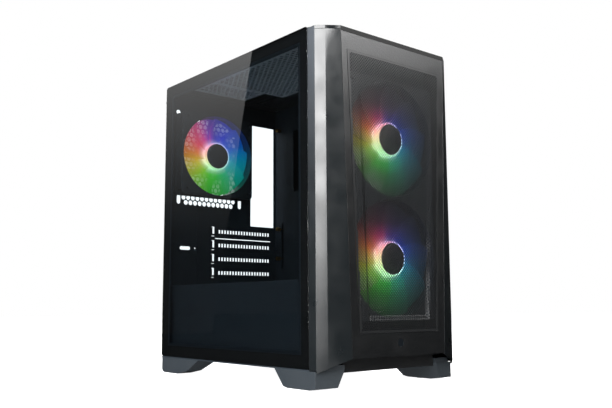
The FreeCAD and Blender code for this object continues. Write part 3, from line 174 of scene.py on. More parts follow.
softbox("key_softbox", Vector((-1.17, -1.10, 0.86)), CASE_MIDDLE, 0.60, 1.25, 23.5)
softbox("front_softbox", Vector((0.95, -1.25, 1.22)), CASE_MIDDLE, 1.0, 0.40, 17.0)
softbox("left_softbox", Vector((-1.45, 0.70, 1.15)), CASE_MIDDLE, 0.8, 0.8, 12.0, "#e6f0ff")
softbox("low_softbox", Vector((-1.15, -0.10, 0.20)), CASE_MIDDLE, 0.9, 0.34, 9.0)
softbox("top_softbox", Vector((0.1, -0.35, 1.9)), CASE_MIDDLE, 1.0, 1.0, 6.0)
softbox("rear_softbox", Vector((0.9, 1.6, 1.2)), CASE_MIDDLE, 1.2, 1.2, 3.0)

# The panel of light that the glass mirrors: its front edge cuts slantwise across the pane, and it
# is brightest at its head.
veil_paint, tree = new_material("lit_diffuser_cloth")
here = add_node(tree, "TexCoord")
height = add_node(tree, "SeparateXYZ", links={0: here.outputs["Object"]})
rise = add_node(tree, "MapRange", {1: 0.25, 2: 1.15, 3: 0.0, 4: 1.0}, {0: height.outputs["Z"]})
curve = add_node(tree, "Math", {1: 1.9}, {0: rise.outputs[0]}, operation="POWER")
fade = add_node(tree, "MapRange", {1: 0.0, 2: 1.0, 3: 0.03, 4: 2.1}, {0: curve.outputs[0]})
cloth = add_node(tree, "Emission", {"Color": (1, 1, 1, 1)}, {"Strength": fade.outputs[0]})
add_node(tree, "OutputMaterial", links={"Surface": cloth.outputs[0]})
shell = bmesh.new()
VEIL = ((-1.165, 1.17), (-0.97, -0.09), (-0.30, -0.05), (-0.30, 1.17))
corners = [shell.verts.new((x, 1.4, z)) for x, z in VEIL]
shell.faces.new(corners)
veil_mesh = bpy.data.meshes.new("veil")
shell.to_mesh(veil_mesh)
shell.free()
veil_mesh.materials.append(veil_paint)
veil = bpy.data.objects.new("veil", veil_mesh)
veil.visible_camera = False
veil.visible_transmission = False
veil.visible_diffuse = False
bpy.context.scene.collection.objects.link(veil)

# ---- Chassis sheet metal -------------------------------------------------------------------
# Folded 0.8 mm steel, powder coated black before assembly and riveted: base pan, front wall,
# tray, shroud, cage and bracket. The coat is satin, with a faint orange peel and a cool cast.


def dress(paint, *nodes):
    """Puts a finish on pieces that keep the shape of their own sub-part."""
    for name in nodes:
        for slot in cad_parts[name].material_slots:
            slot.material = paint


def powder_coat(name, colour, roughness, peel):
    """Baked polyester powder: a shallow orange peel, and pigment that varies by a few percent."""
    made, tree = new_material(name)
    here = add_node(tree, "TexCoord")
    cloud = add_node(tree, "TexNoise", {"Scale": 22.0, "Detail": 3.0}, {"Vector": here.outputs["Object"]})
    peel_noise = add_node(tree, "TexNoise", {"Scale": 1 / PEEL_WIDE, "Detail": 2.0},
                          {"Vector": here.outputs["Object"]})
    dark = [c * 0.82 for c in linear(colour)[:3]] + [1.0]
    pale = [c * 1.22 for c in linear(colour)[:3]] + [1.0]
    tone = add_node(tree, "Mix", {6: dark, 7: pale}, {0: cloud.outputs[0]}, data_type="RGBA")
    shine = add_node(tree, "MapRange", {1: 0.3, 2: 0.7, 3: roughness - 0.05, 4: roughness + 0.06},
                     {0: peel_noise.outputs[0]})
    bumps = add_node(tree, "Bump", {"Strength": peel, "Distance": 0.0004}, {"Height": peel_noise.outputs[0]})
    coat = add_node(tree, "BsdfPrincipled", {"IOR": 1.5},
                    {"Base Color": tone.outputs[2], "Roughness": shine.outputs[0],
                     "Normal": bumps.outputs[0]})
    add_node(tree, "OutputMaterial", links={"Surface": coat.outputs[0]})
    return made


# real orange peel is about 0.8 mm across; drawn at 2 mm so that it shows
PEEL_WIDE = 0.002
inner_coat = powder_coat("powder_coated_steel_inside", "#1a2127", 0.46, 0.12)
outer_coat = powder_coat("powder_coated_steel_outside", "#1d1f21", 0.42, 0.16)
dress(inner_coat, "base_pan", "front_wall", "drive_cage", "ssd_bracket", "glass_frame",
      "drive_tray_lower", "drive_tray_upper", "rear_panel", "slot_ledge",
      "slot_cover_1", "slot_cover_2", "slot_cover_3", "slot_cover_4", "motherboard_tray")


def merged(node):
    """A sheet or a moulding as one closed shell with flat faces, ready to be worked on."""
    shell = bmesh.new()
    shell.from_mesh(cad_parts[node].data)
    bmesh.ops.remove_doubles(shell, verts=shell.verts, dist=2e-6)
    bmesh.ops.dissolve_limit(shell, angle_limit=math.radians(0.8), verts=shell.verts, edges=shell.edges,
                             use_dissolve_boundaries=False)
    return shell


def piece_of(shell, name, body, finishes, stands_for=(), edge=0, steps=2, crisp=38):
    """Turns a worked shell into a piece that rides on a body, with its edges rounded off."""
    mesh = bpy.data.meshes.new(name)
    shell.to_mesh(mesh)
    shell.free()
    for finish in finishes:
        mesh.materials.append(finish)
    mesh.shade_smooth()
    mesh.set_sharp_from_angle(angle=math.radians(crisp))
    piece = bpy.data.objects.new(name, mesh)
    bpy.context.scene.collection.objects.link(piece)
    if edge:
        bevel = piece.modifiers.new("rounded_edges", "BEVEL")
        bevel.width, bevel.segments = edge, steps
        bevel.limit_method, bevel.angle_limit = "ANGLE", math.radians(crisp)
        bevel.use_clamp_overlap = True
        level_faces = piece.modifiers.new("level_faces", "WEIGHTED_NORMAL")
        level_faces.keep_sharp = True
    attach(piece, body)
    if stands_for:
        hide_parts(*stands_for)
    return piece


piece_of(merged("psu_shroud"), "shroud", "root", [inner_coat], ["psu_shroud"], edge=0.0006)


# ---- Roof ----------------------------------------------------------------------------------
# Steel roof with a field of small hexagonal holes over the fan places and two long slots beside
# it. The holes are punched in staggered rows, and the fields stop short of the slots.


def add_block(shell, low, high):
    """A block between two corners, and its vertices."""
    verts = bmesh.ops.create_cube(shell, size=1)["verts"]
    bmesh.ops.scale(shell, vec=[b - a for a, b in zip(low, high)], verts=verts)
    bmesh.ops.translate(shell, vec=[(a + b) / 2 for a, b in zip(low, high)], verts=verts)
    return verts


def add_row(shell, geometry, step, count):
    """Copies of some geometry, each one step on from the last."""
    bmesh.ops.spin(shell, geom=geometry, cent=(0, 0, 0), axis=(0, 0, 1), dvec=step, angle=0.0,
                   steps=count, use_duplicate=True)


def all_of(shell):
    """All the geometry of a shell."""
    return shell.verts[:] + shell.edges[:] + shell.faces[:]


def verts_in(geometry):
    """The vertices among some geometry."""
    return [g for g in geometry if isinstance(g, bmesh.types.BMVert)]


def trim(shell, point, normal, clear=True):
    """Cuts the shell along a plane, and takes away what lies on the normal's side."""
    bmesh.ops.bisect_plane(shell, geom=all_of(shell), dist=1e-7, plane_co=point, plane_no=normal,
                           clear_outer=clear)


def punched_field(x0, x1, y0, y1, pitch, web, margin):
    """A flat field of hexagonal holes in the plane z = 0, with a plain margin round it."""
    field = bmesh.new()
    bmesh.ops.create_circle(field, cap_ends=True, segments=6, radius=pitch / math.sqrt(3))
    line = pitch * math.sqrt(3) / 2
    columns, rows = int((x1 - x0) / pitch) + 2, int((y1 - y0) / line) + 2
    add_row(field, all_of(field), (pitch, 0, 0), columns)
    second = bmesh.ops.duplicate(field, geom=all_of(field))["geom"]
    bmesh.ops.translate(field, vec=(pitch / 2, line, 0), verts=verts_in(second))
    add_row(field, all_of(field), (0, 2 * line, 0), rows // 2 + 1)
    bmesh.ops.translate(field, vec=(x0 - pitch / 2, y0 - line / 2, 0), verts=field.verts)
    bmesh.ops.remove_doubles(field, verts=field.verts, dist=pitch / 20)
    inner = ((x0 + margin, x1 - margin), (y0 + margin, y1 - margin))
    for clear, (xs, ys) in ((False, inner), (True, ((x0, x1), (y0, y1)))):
        trim(field, (xs[0], 0, 0), (-1, 0, 0), clear)
        trim(field, (xs[1], 0, 0), (1, 0, 0), clear)
        trim(field, (0, ys[0], 0), (0, -1, 0), clear)
        trim(field, (0, ys[1], 0), (0, 1, 0), clear)
    whole = pitch * pitch * math.sqrt(3) / 2 * 0.97
    cells = [f for f in field.faces if f.calc_area() > whole]
    bmesh.ops.inset_individual(field, faces=cells, thickness=web / 2)
    bmesh.ops.delete(field, geom=cells, context="FACES")
    return field


STEEL = 0.0008
ROOF_PITCH, ROOF_WEB, ROOF_MARGIN = 0.0070, 0.0020, 0.002
roof_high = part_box("top_panel")[1]
rear_low, rear_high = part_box("rear_panel")
# the field is narrower behind this line, beside a long slot
narrowing = rear_low.y + 0.010 - 0.073 - 0.003
# left, right, front and rear edges
FIELDS = ((-0.077, 0.046, -0.106, narrowing), (-0.077, 0.0115, narrowing, 0.1415))
roof = merged("top_panel")
for x0, x1, y0, y1 in FIELDS:
    for point, normal in (((x0, 0, 0), (1, 0, 0)), ((x1, 0, 0), (1, 0, 0)), ((0, y0, 0), (0, 1, 0)),
                          ((0, y1, 0), (0, 1, 0))):
        trim(roof, point, normal, clear=False)
for x0, x1, y0, y1 in FIELDS:
    spots = [(f, f.calc_center_median()) for f in roof.faces]
    gone = [f for f, spot in spots if x0 < spot.x < x1 and y0 < spot.y < y1]
    bmesh.ops.delete(roof, geom=gone, context="FACES")
roof_sheet = bpy.data.meshes.new("roof_sheet")
for x0, x1, y0, y1 in FIELDS:
    field = punched_field(x0, x1, y0, y1, ROOF_PITCH, ROOF_WEB, ROOF_MARGIN)
    bmesh.ops.solidify(field, geom=field.faces[:], thickness=STEEL)
    top = max(v.co.z for v in field.verts)
    bmesh.ops.translate(field, vec=(0, 0, roof_high.z - top), verts=field.verts)
    for face in field.faces:
        face.material_index = 1
    field.to_mesh(roof_sheet)
    field.free()
    roof.from_mesh(roof_sheet)
bmesh.ops.recalc_face_normals(roof, faces=roof.faces)
# The punched fields are coloured pale grey: painted light where light through the holes falls on the
# ceiling. The sheet itself is coated black like the rest of the roof.
roof_field_painted_light = powder_coat("roof_field_steel_painted_light", "#aab4bd", 0.36, 0.12)
piece_of(roof, "roof", "root", [outer_coat, roof_field_painted_light], ["top_panel"])

# ---- Feet ------------------------------------------------------------------------------------
# Injection moulded ABS with a spark-eroded texture, screwed up into the base pan from inside.
# The front pair carry the line of the front corners down to the floor.


def moulded_abs(name, colour, roughness, grain, speckle, bump):
    """Textured ABS: a spark-eroded grain that breaks the shine into fine pale specks."""
    made, tree = new_material(name)
    here = add_node(tree, "TexCoord")
    specks = add_node(tree, "TexNoise", {"Scale": 1 / grain, "Detail": 1.0},
                      {"Vector": here.outputs["Object"]})
    cloud = add_node(tree, "TexNoise", {"Scale": 35.0, "Detail": 2.0}, {"Vector": here.outputs["Object"]})
    dark = [c * (1 - speckle) for c in linear(colour)[:3]] + [1.0]
    pale = [c * (1 + speckle) for c in linear(colour)[:3]] + [1.0]
    tone = add_node(tree, "Mix", {6: dark, 7: pale}, {0: specks.outputs[0]}, data_type="RGBA")
    shine = add_node(tree, "MapRange", {1: 0.3, 2: 0.7, 3: roughness - 0.06, 4: roughness + 0.06},
                     {0: cloud.outputs[0]})
    bumps = add_node(tree, "Bump", {"Strength": bump, "Distance": 0.0003}, {"Height": specks.outputs[0]})
    skin = add_node(tree, "BsdfPrincipled", {"IOR": 1.54},
                    {"Base Color": tone.outputs[2], "Roughness": shine.outputs[0],
                     "Normal": bumps.outputs[0]})
    add_node(tree, "OutputMaterial", links={"Surface": skin.outputs[0]})
    return made


# the texture's grain is about 0.3 mm; drawn at 1.3 mm so that it shows
GRAIN = 0.0013
corner_abs = moulded_abs("satin_abs_corners", "#0c1012", 0.33, GRAIN, 0.25, 0.10)
face_abs = moulded_abs("textured_abs_face", "#0d0e0f", 0.35, GRAIN, 0.75, 0.45)
foot_abs = moulded_abs("satin_abs_feet", "#24292d", 0.40, GRAIN, 0.25, 0.10)
plain_abs = moulded_abs("plain_abs", "#151617", 0.38, GRAIN, 0.2, 0.08)
for corner in ("front_left", "front_right", "rear_left", "rear_right"):
    piece_of(merged("foot_" + corner), "foot_" + corner + "_moulding", "root",
             [foot_abs], ["foot_" + corner], edge=0.0007)

# Black rubber for the foot pads. The same finish paints the shade of the gap under the front trim plate.
rubber_and_gap_shade, tree = new_material("moulded_rubber_and_painted_gap_shade")
here = add_node(tree, "TexCoord")
dust = add_node(tree, "TexNoise", {"Scale": 400.0, "Detail": 2.0}, {"Vector": here.outputs["Object"]})
tone = add_node(tree, "Mix", {6: linear("#0e0e0e"), 7: linear("#1b1b1a")}, {0: dust.outputs[0]},
                data_type="RGBA")
pad = add_node(tree, "BsdfPrincipled", {"Roughness": 0.85}, {"Base Color": tone.outputs[2]})
add_node(tree, "OutputMaterial", links={"Surface": pad.outputs[0]})
dress(rubber_and_gap_shade, "foot_pads")

# ---- Screws and standoffs --------------------------------------------------------------------
# Zinc plated and black oxide steel screws, and hexagonal brass standoffs for the board.


def turned_metal(name, colour, roughness):
    """Machined and plated metal: fine turning marks round it blur the shine a little."""
    made, tree = new_material(name)
    here = add_node(tree, "TexCoord")
    marks = add_node(tree, "TexNoise", {"Scale": 900.0, "Detail": 3.0}, {"Vector": here.outputs["Object"]})
    shine = add_node(tree, "MapRange", {1: 0.3, 2: 0.7, 3: roughness - 0.08, 4: roughness + 0.08},
                     {0: marks.outputs[0]})
    dark = [c * 0.85 for c in linear(colour)[:3]] + [1.0]
    tone = add_node(tree, "Mix", {6: dark, 7: linear(colour)}, {0: marks.outputs[0]}, data_type="RGBA")
    metal = add_node(tree, "BsdfPrincipled", {"Metallic": 1.0},
                     {"Base Color": tone.outputs[2], "Roughness": shine.outputs[0]})
    add_node(tree, "OutputMaterial", links={"Surface": metal.outputs[0]})
    return made


zinc = turned_metal("zinc_plated_steel", "#b9bcc0", 0.32)
black_oxide = turned_metal("black_oxide_steel", "#2c2c2e", 0.38)
brass = turned_metal("turned_brass", "#b08d4a", 0.30)
dress(zinc, "slot_cover_screws", "foot_screws")
dress(black_oxide, "fan_screws")
dress(brass, "board_standoffs")

# ---- Thumbscrews -----------------------------------------------------------------------------
# Knurled steel heads with a driver slot, one at each corner behind the side panels, turned by
# hand into the rear panel.
KNURLS, KNURL_FLOOR = 32, 0.94
CHAMFER, RIM, SLOT_HALF, SLOT_DEEP, STEM = 0.0006, 0.0004, 0.0006, 0.0012, 0.00175
# from the rear panel to the head: clearance, tab and clearance
TAB_STACK = 0.0015


def thumbscrew(side, level_name):
    """A knurled head with a chamfered face and a driver slot, on a plain stem."""
    node = "thumbscrew_%s_%s" % (side, level_name)
    low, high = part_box(node)
    middle = (low + high) / 2
    radius = (high.x - low.x) / 2
    head_long = high.y - rear_high.y - TAB_STACK
    stem_long = high.y - head_long - low.y
    screw = bmesh.new()
    bmesh.ops.create_circle(screw, cap_ends=True, segments=KNURLS * 4, radius=radius)
    for number, vert in enumerate(screw.verts):
        if number % 4 in (0, 1):
            vert.co.xy *= KNURL_FLOOR
    back = screw.faces[:]
    grown = bmesh.ops.extrude_face_region(screw, geom=back)["geom"]
    cap = [g for g in grown if isinstance(g, bmesh.types.BMFace)]
    bmesh.ops.translate(screw, vec=(0, 0, head_long - CHAMFER), verts=verts_in(grown))
    bmesh.ops.inset_region(screw, faces=cap, thickness=CHAMFER, depth=CHAMFER)
    bmesh.ops.inset_region(screw, faces=cap, thickness=RIM)
    disc = cap + [e for f in cap for e in f.edges] + [v for f in cap for v in f.verts]
    for across in (-1, 1):
        cut = bmesh.ops.bisect_plane(screw, geom=disc, dist=1e-7, plane_co=(across * SLOT_HALF, 0, 0),
                                     plane_no=(1, 0, 0))
        disc = cut["geom"]
    spots = [(f, f.calc_center_median()) for f in screw.faces if abs(f.normal.z) > 0.9]
    strip = [f for f, spot in spots if abs(spot.x) < SLOT_HALF * 0.5 and spot.z > head_long * 0.9]
    sunk = bmesh.ops.extrude_face_region(screw, geom=strip)["geom"]
    bmesh.ops.delete(screw, geom=strip, context="FACES")
    bmesh.ops.translate(screw, vec=(0, 0, -SLOT_DEEP), verts=verts_in(sunk))
    stem = bmesh.ops.create_cone(screw, cap_ends=True, segments=24, radius1=STEM, radius2=STEM,
                                 depth=stem_long)
    bmesh.ops.translate(screw, vec=(0, 0, -stem_long / 2), verts=stem["verts"])
    bmesh.ops.recalc_face_normals(screw, faces=screw.faces)
    to_rear = Matrix.Rotation(math.radians(-90), 3, "X")
    bmesh.ops.rotate(screw, cent=(0, 0, 0), matrix=to_rear, verts=screw.verts)
    bmesh.ops.translate(screw, vec=(middle.x, high.y - head_long, middle.z), verts=screw.verts)
    piece_of(screw, node + "_knurled", node, [black_oxide], [node], crisp=30)


for side in ("left", "right"):
    for level_name in ("upper", "lower"):
        thumbscrew(side, level_name)

# ---- Fans -----------------------------------------------------------------------------------
# Glass-filled nylon frames with rounded corners, and rotors of frosted polycarbonate lit from the
# hub, so that the colour runs round the fan and fades towards the blade tips.
fan_plastic = moulded_abs("fan_frame_nylon", "#2a2e32", 0.34, GRAIN, 0.2, 0.06)
CORNER_ROUND = 0.006
# the duct wall's faces lie beyond this share of the half width
DUCT_SHARE = 0.90


def fan_frame(node, glowing):
    """A frame with rounded corners, and a duct wall that glows with painted light: emission in place of the
    rotor's light falling on it.
    """
    low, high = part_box(node)
    shell = merged(node)
    upright = []
    for edge in shell.edges:
        a, b = [v.co for v in edge.verts]
        along = abs(a.x - b.x) < 1e-5 and abs(a.z - b.z) < 1e-5
        outer_x = min(abs(a.x - low.x), abs(a.x - high.x)) < 1e-5
        outer_z = min(abs(a.z - low.z), abs(a.z - high.z)) < 1e-5
        if along and outer_x and outer_z:
            upright.append(edge)
    duct = (high.x - low.x) / 2 * DUCT_SHARE
    middle = (low + high) / 2
    for face in shell.faces:
        spot = face.calc_center_median() - middle
        flat = math.hypot(spot.x, spot.z)
        inward = face.normal.x * spot.x + face.normal.z * spot.z
        if duct < flat and inward < -0.9 * flat:
            face.material_index = 1
    bmesh.ops.bevel(shell, geom=upright, offset=CORNER_ROUND, offset_type="OFFSET", affect="EDGES",
                    segments=5, profile=0.5, material=-1)
    piece_of(shell, node + "_moulding", "root", [fan_plastic, glowing], [node], edge=0.0004)


HUB = 0.0185
# the radius at which a glow's falloff reads 1
GLOW_REACH = 0.07

RAINBOW = (
    # share of a turn clockwise from the top, colour of the light there
    (0.00, "#3a22b8"), (0.06, "#1630d8"), (0.17, "#0a62d6"), (0.26, "#00a8c8"), (0.36, "#00b89a"),
    (0.46, "#08c63c"), (0.54, "#3fd41c"), (0.62, "#9adf16"), (0.69, "#e6d31e"), (0.76, "#ff8c1e"),
    (0.83, "#ff4f5e"), (0.90, "#f03a96"), (0.96, "#8a2cc0"), (1.00, "#3a22b8"),
)


def lit_polycarbonate(name, centre, falloff, clear, lead, top):
    """Frosted polycarbonate lit from within: a coloured glow that runs round the fan's axis, turned
    by a lead and dimmed to a share towards the top."""
    made, tree = new_material(name)
    here = add_node(tree, "TexCoord")
    centred = add_node(tree, "VectorMath", {1: centre}, {0: here.outputs["Object"]}, operation="SUBTRACT")
    axes = add_node(tree, "SeparateXYZ", links={0: centred.outputs[0]})
    turn = add_node(tree, "Math", links={0: axes.outputs["X"], 1: axes.outputs["Z"]}, operation="ARCTAN2")
    share = add_node(tree, "Math", {1: 2 * math.pi}, {0: turn.outputs[0]}, operation="DIVIDE")
    shifted = add_node(tree, "Math", {1: lead}, {0: share.outputs[0]}, operation="ADD")
    wrapped = add_node(tree, "Math", {1: 1.0}, {0: shifted.outputs[0]}, operation="FLOORED_MODULO")
    hues = add_node(tree, "ValToRGB", links={0: wrapped.outputs[0]})
    ramp = hues.color_ramp
    while len(ramp.elements) < len(RAINBOW):
        ramp.elements.new(0.5)
    for stop, (where, colour) in zip(ramp.elements, RAINBOW):
        stop.position, stop.color = where, linear(colour)
    flat = add_node(tree, "CombineXYZ", links={"X": axes.outputs["X"], "Z": axes.outputs["Z"]})
    reach = add_node(tree, "VectorMath", links={0: flat.outputs[0]}, operation="LENGTH")
    span = add_node(tree, "Math", {1: GLOW_REACH}, {0: reach.outputs["Value"]}, operation="DIVIDE")
    fall = add_node(tree, "ValToRGB", links={0: span.outputs[0]})
    steps = fall.color_ramp
    while len(steps.elements) < len(falloff):
        steps.elements.new(0.5)
    for stop, (where, amount) in zip(steps.elements, falloff):
        stop.position, stop.color = where, (amount, amount, amount, 1)
    pale = add_node(tree, "MapRange", {1: 0.27, 2: 0.40, 3: 0.40, 4: 0.0}, {0: span.outputs[0]})
    hot = add_node(tree, "Mix", {7: linear("#f4f6ff")}, {0: pale.outputs[0], 6: hues.outputs[0]},
                   data_type="RGBA")
    upward = add_node(tree, "MapRange", {1: 0.008, 2: 0.045, 3: 1.0, 4: top}, {0: axes.outputs["Z"]})
    dimmed = add_node(tree, "Math", links={0: fall.outputs[0], 1: upward.outputs[0]}, operation="MULTIPLY")
    glow = add_node(tree, "VectorMath", links={0: hot.outputs[2], "Scale": dimmed.outputs[0]},
                    operation="SCALE")
    cloud = add_node(tree, "TexNoise", {"Scale": 60.0}, {"Vector": here.outputs["Object"]})
    shine = add_node(tree, "MapRange", {1: 0.3, 2: 0.7, 3: 0.3, 4: 0.4}, {0: cloud.outputs[0]})
    see = add_node(tree, "MapRange", {1: 0.02, 2: 0.045, 3: 1.0, 4: clear}, {0: reach.outputs["Value"]})
    plastic = add_node(tree, "BsdfPrincipled", {"Base Color": linear("#2a2c30"), "Emission Strength": 1.0},
                       {"Emission Color": glow.outputs[0], "Roughness": shine.outputs[0],
                        "Alpha": see.outputs[0]})
    add_node(tree, "OutputMaterial", links={"Surface": plastic.outputs[0]})
    return made


BLADES, BLADE_THICK, BLADE_BOW, BLADE_HALF_DEEP = 9, 0.0012, 0.0022, 0.0105
# degrees: the arc that a blade covers, how far its tip trails, and its lean at the hub and tip
BLADE_SPREAD, BLADE_TRAIL, LEAN_HUB, LEAN_TIP = 54.0, 24, 26, 14
# the clear ring that shows round the hub cap
LIT_LIP = 0.0017


def fan_rotor(node, body, paint):
    """Hub cap, lit ring round it and swept blades, about the axis of the rotor's own box."""
    low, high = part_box(node)
    middle = (low + high) / 2
    tip = (high.x - low.x) / 2 - 0.0002
    rotor = bmesh.new()
    bmesh.ops.create_grid(rotor, x_segments=12, y_segments=8, size=0.5)
    for vert in rotor.verts:
        out, across = vert.co.x + 0.5, vert.co.y
        radius = HUB - 0.0006 + (tip - HUB + 0.0006) * out
        angle = math.radians(BLADE_TRAIL * out ** 1.4 + across * BLADE_SPREAD)
        lean = math.radians(LEAN_HUB + (LEAN_TIP - LEAN_HUB) * out)
        rise = across * radius * math.radians(35) * math.tan(lean) * 0.9
        rise = min(BLADE_HALF_DEEP, max(-BLADE_HALF_DEEP, rise))
        bow = BLADE_BOW * (0.25 - across * across) * 4
        vert.co = Vector((radius * math.sin(angle), rise + bow, radius * math.cos(angle)))
    rotor.normal_update()
    bmesh.ops.solidify(rotor, geom=rotor.faces[:], thickness=BLADE_THICK)
    bmesh.ops.spin(rotor, geom=all_of(rotor), cent=(0, 0, 0), axis=(0, 1, 0), use_duplicate=True,
                   angle=math.tau * (BLADES - 1) / BLADES, steps=BLADES - 1)
    profile = ((0.0, -0.0118), (HUB - 0.004, -0.0118), (HUB - 0.0012, -0.0110), (HUB - 0.0002, -0.0092),
               (HUB + LIT_LIP, -0.0092), (HUB + LIT_LIP, -0.0078), (HUB, -0.0072), (HUB, 0.0075))
    rim = [rotor.verts.new((x, y, 0)) for x, y in profile]
    line = [rotor.edges.new(pair) for pair in zip(rim, rim[1:])]
    bmesh.ops.spin(rotor, geom=rim + line, cent=(0, 0, 0), axis=(0, 1, 0), angle=math.tau, steps=64,
                   use_merge=True)
    bmesh.ops.remove_doubles(rotor, verts=rotor.verts, dist=1e-6)
    for face in rotor.faces:
        spot = face.calc_center_median()
        if math.hypot(spot.x, spot.z) < HUB - 0.0002 and spot.y < -0.008:
            face.material_index = 1
    bmesh.ops.recalc_face_normals(rotor, faces=rotor.faces)
    bmesh.ops.translate(rotor, vec=(middle.x, low.y + (high.y - low.y) / 2, middle.z), verts=rotor.verts)
    piece_of(rotor, node + "_blades", body, [paint, fan_plastic], [node], crisp=50)


# share of the glow's reach, and how strong the light is there
REAR_FALLOFF = ((0.0, 1.0), (0.262, 3.0), (0.285, 2.4), (0.33, 1.6), (0.5, 1.3), (0.84, 0.9))
DUCT_PAINTED_GLOW_FALLOFF = ((0.0, 0.0), (0.6, 0.14), (0.86, 0.12), (0.93, 0.0), (1.0, 0.0))
FRONT_FALLOFF = ((0.0, 1.0), (0.262, 3.2), (0.292, 3.2), (0.31, 1.5), (0.42, 0.9), (0.60, 0.36),
                 (0.80, 0.15), (0.97, 0.04))
for body, falloff, clear, lead, top in (("rear_fan_rotor", REAR_FALLOFF, 0.70, 0.0, 1.0),
                                        ("front_fan_rotor_upper", FRONT_FALLOFF, 0.97, -0.05, 0.22),
                                        ("front_fan_rotor_lower", FRONT_FALLOFF, 0.97, -0.05, 0.22)):
    low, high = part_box(body)
    centre = tuple((low + high) / 2)
    # The duct wall's glow is painted light, emission standing in for the rotor's light on the frame.
    duct_painted_glow = lit_polycarbonate("painted_light_duct_wall_" + body, centre, DUCT_PAINTED_GLOW_FALLOFF, 1.0, lead, top)
    fan_frame(body.replace("rotor", "frame"), duct_painted_glow)
    paint = lit_polycarbonate("frosted_polycarbonate_" + body, centre, falloff, clear, lead, top)
    fan_rotor(body, body, paint)

# ---- Glass side -----------------------------------------------------------------------------
# A 4 mm pane of grey toughened glass with ground edges. Its inner face has a black ceramic border,
# fired on, that hides the steel band glued behind it.
glass, tree = new_material("grey_toughened_glass")
path = add_node(tree, "LightPath")
clear_glass = add_node(tree, "BsdfPrincipled", {"Base Color": linear("#aab1b4"), "Roughness": 0.0,
                                                "IOR": 1.52, "Transmission Weight": 1.0})
shade = add_node(tree, "BsdfTransparent", {"Color": linear("#b4babd")})
either_glass = add_node(tree, "MixShader", links={0: path.outputs["Is Shadow Ray"],
                                                  1: clear_glass.outputs[0], 2: shade.outputs[0]})
add_node(tree, "OutputMaterial", links={"Surface": either_glass.outputs[0]})

enamel, tree = new_material("fired_black_enamel")
here = add_node(tree, "TexCoord")
fleck = add_node(tree, "TexNoise", {"Scale": 500.0}, {"Vector": here.outputs["Object"]})
tone = add_node(tree, "Mix", {6: linear("#020202"), 7: linear("#060606")}, {0: fleck.outputs[0]},
                data_type="RGBA")
print_coat = add_node(tree, "BsdfPrincipled", {"Roughness": 0.6, "Specular IOR Level": 0.15},
                      {"Base Color": tone.outputs[2]})
add_node(tree, "OutputMaterial", links={"Surface": print_coat.outputs[0]})
pane = merged("glass_pane")
for face in pane.faces:
    if abs(face.normal.x) < 0.5:
        face.material_index = 1
piece_of(pane, "glass", "glass_panel", [glass, enamel], ["glass_pane"], edge=0.0003)
pane_low, pane_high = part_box("glass_pane")
BORDER, PRINT_THICK, PRINT_INSET = 0.0205, 0.00008, 0.0001
border = bmesh.new()
print_middle = (pane_low + pane_high) / 2
print_middle.x = pane_high.x - PRINT_THICK * 1.5
wide = pane_high.y - pane_low.y - 2 * PRINT_INSET
tall = pane_high.z - pane_low.z - 2 * PRINT_INSET
bmesh.ops.create_grid(border, x_segments=1, y_segments=1, size=0.5)
for vert in border.verts:
    vert.co = print_middle + Vector((0, vert.co.x * wide, vert.co.y * tall))
border.normal_update()
bmesh.ops.inset_region(border, faces=border.faces[:], thickness=BORDER - PRINT_INSET, use_boundary=True)
window = min(border.faces, key=lambda f: (f.calc_center_median() - print_middle).length)
bmesh.ops.delete(border, geom=[window], context="FACES")
bmesh.ops.solidify(border, geom=border.faces[:], thickness=PRINT_THICK)
bmesh.ops.recalc_face_normals(border, faces=border.faces)
piece_of(border, "glass_border", "glass_panel", [enamel])

# ---- Right side ------------------------------------------------------------------------------
# One folded sheet of the same steel, plain, with a rounded fold all round.
piece_of(merged("right_side_panel"), "right_side", "right_panel", [outer_coat],
         ["right_side_panel"], edge=0.0006)

# ---- Front panel -------------------------------------------------------------------------------
# A moulded frame in textured ABS between two satin corner mouldings, closed on top by a trim plate
# and below by a skirt. All of it comes away together on six snap clips.
for side in ("left", "right"):
    piece_of(merged("front_pillar_" + side), "corner_moulding_" + side, "front_panel",
             [corner_abs], ["front_pillar_" + side], edge=0.0006)
piece_of(merged("front_bezel"), "front_face", "front_panel", [face_abs], ["front_bezel"],
         edge=0.0005)
cap = merged("front_cap")
cap_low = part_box("front_cap")[0]
# The plate's forward face takes the black rubber finish: painted shade for the dark gap under the trim
# plate's lip.
for face in cap.faces:
    if face.calc_center_median().y < cap_low.y + 0.0005 and face.normal.y < -0.9:
        face.material_index = 1
piece_of(cap, "front_cap_moulding", "front_panel", [corner_abs, rubber_and_gap_shade], ["front_cap"],
         edge=0.0005)
dress(plain_abs, "front_skirt", "front_clips")

# ---- Perforated front ----------------------------------------------------------------------------
# Pressed steel sheet with square holes set diagonally, painted black. Its middle is pressed back,
# deeper towards the foot, with sloping walls.
mesh_paint = powder_coat("painted_perforated_steel", "#141516", 0.38, 0.1)
sheet_low, sheet_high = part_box("front_mesh")
HOLE_PITCH, HOLE_WEB, MESH_THICK, MESH_RIM = 0.0027, 0.0011, 0.0006, 0.0016
FOOT_HALF, HEAD_HALF = 0.0633, 0.0775
RECESS, RECESS_WALL, RECESS_DEPTH = 0.014, 0.004, 0.0042
# half the side of the plain sheet that the outline is cut from, and how far its face is set back
BLANK_HALF, SHEET_SETBACK = 0.22, 0.0002


def edge_half(z, inset):
    """Half width of the sheet at a height, less an inset."""
    share = (z - sheet_low.z) / (sheet_high.z - sheet_low.z)
    return FOOT_HALF + (HEAD_HALF - FOOT_HALF) * share - inset


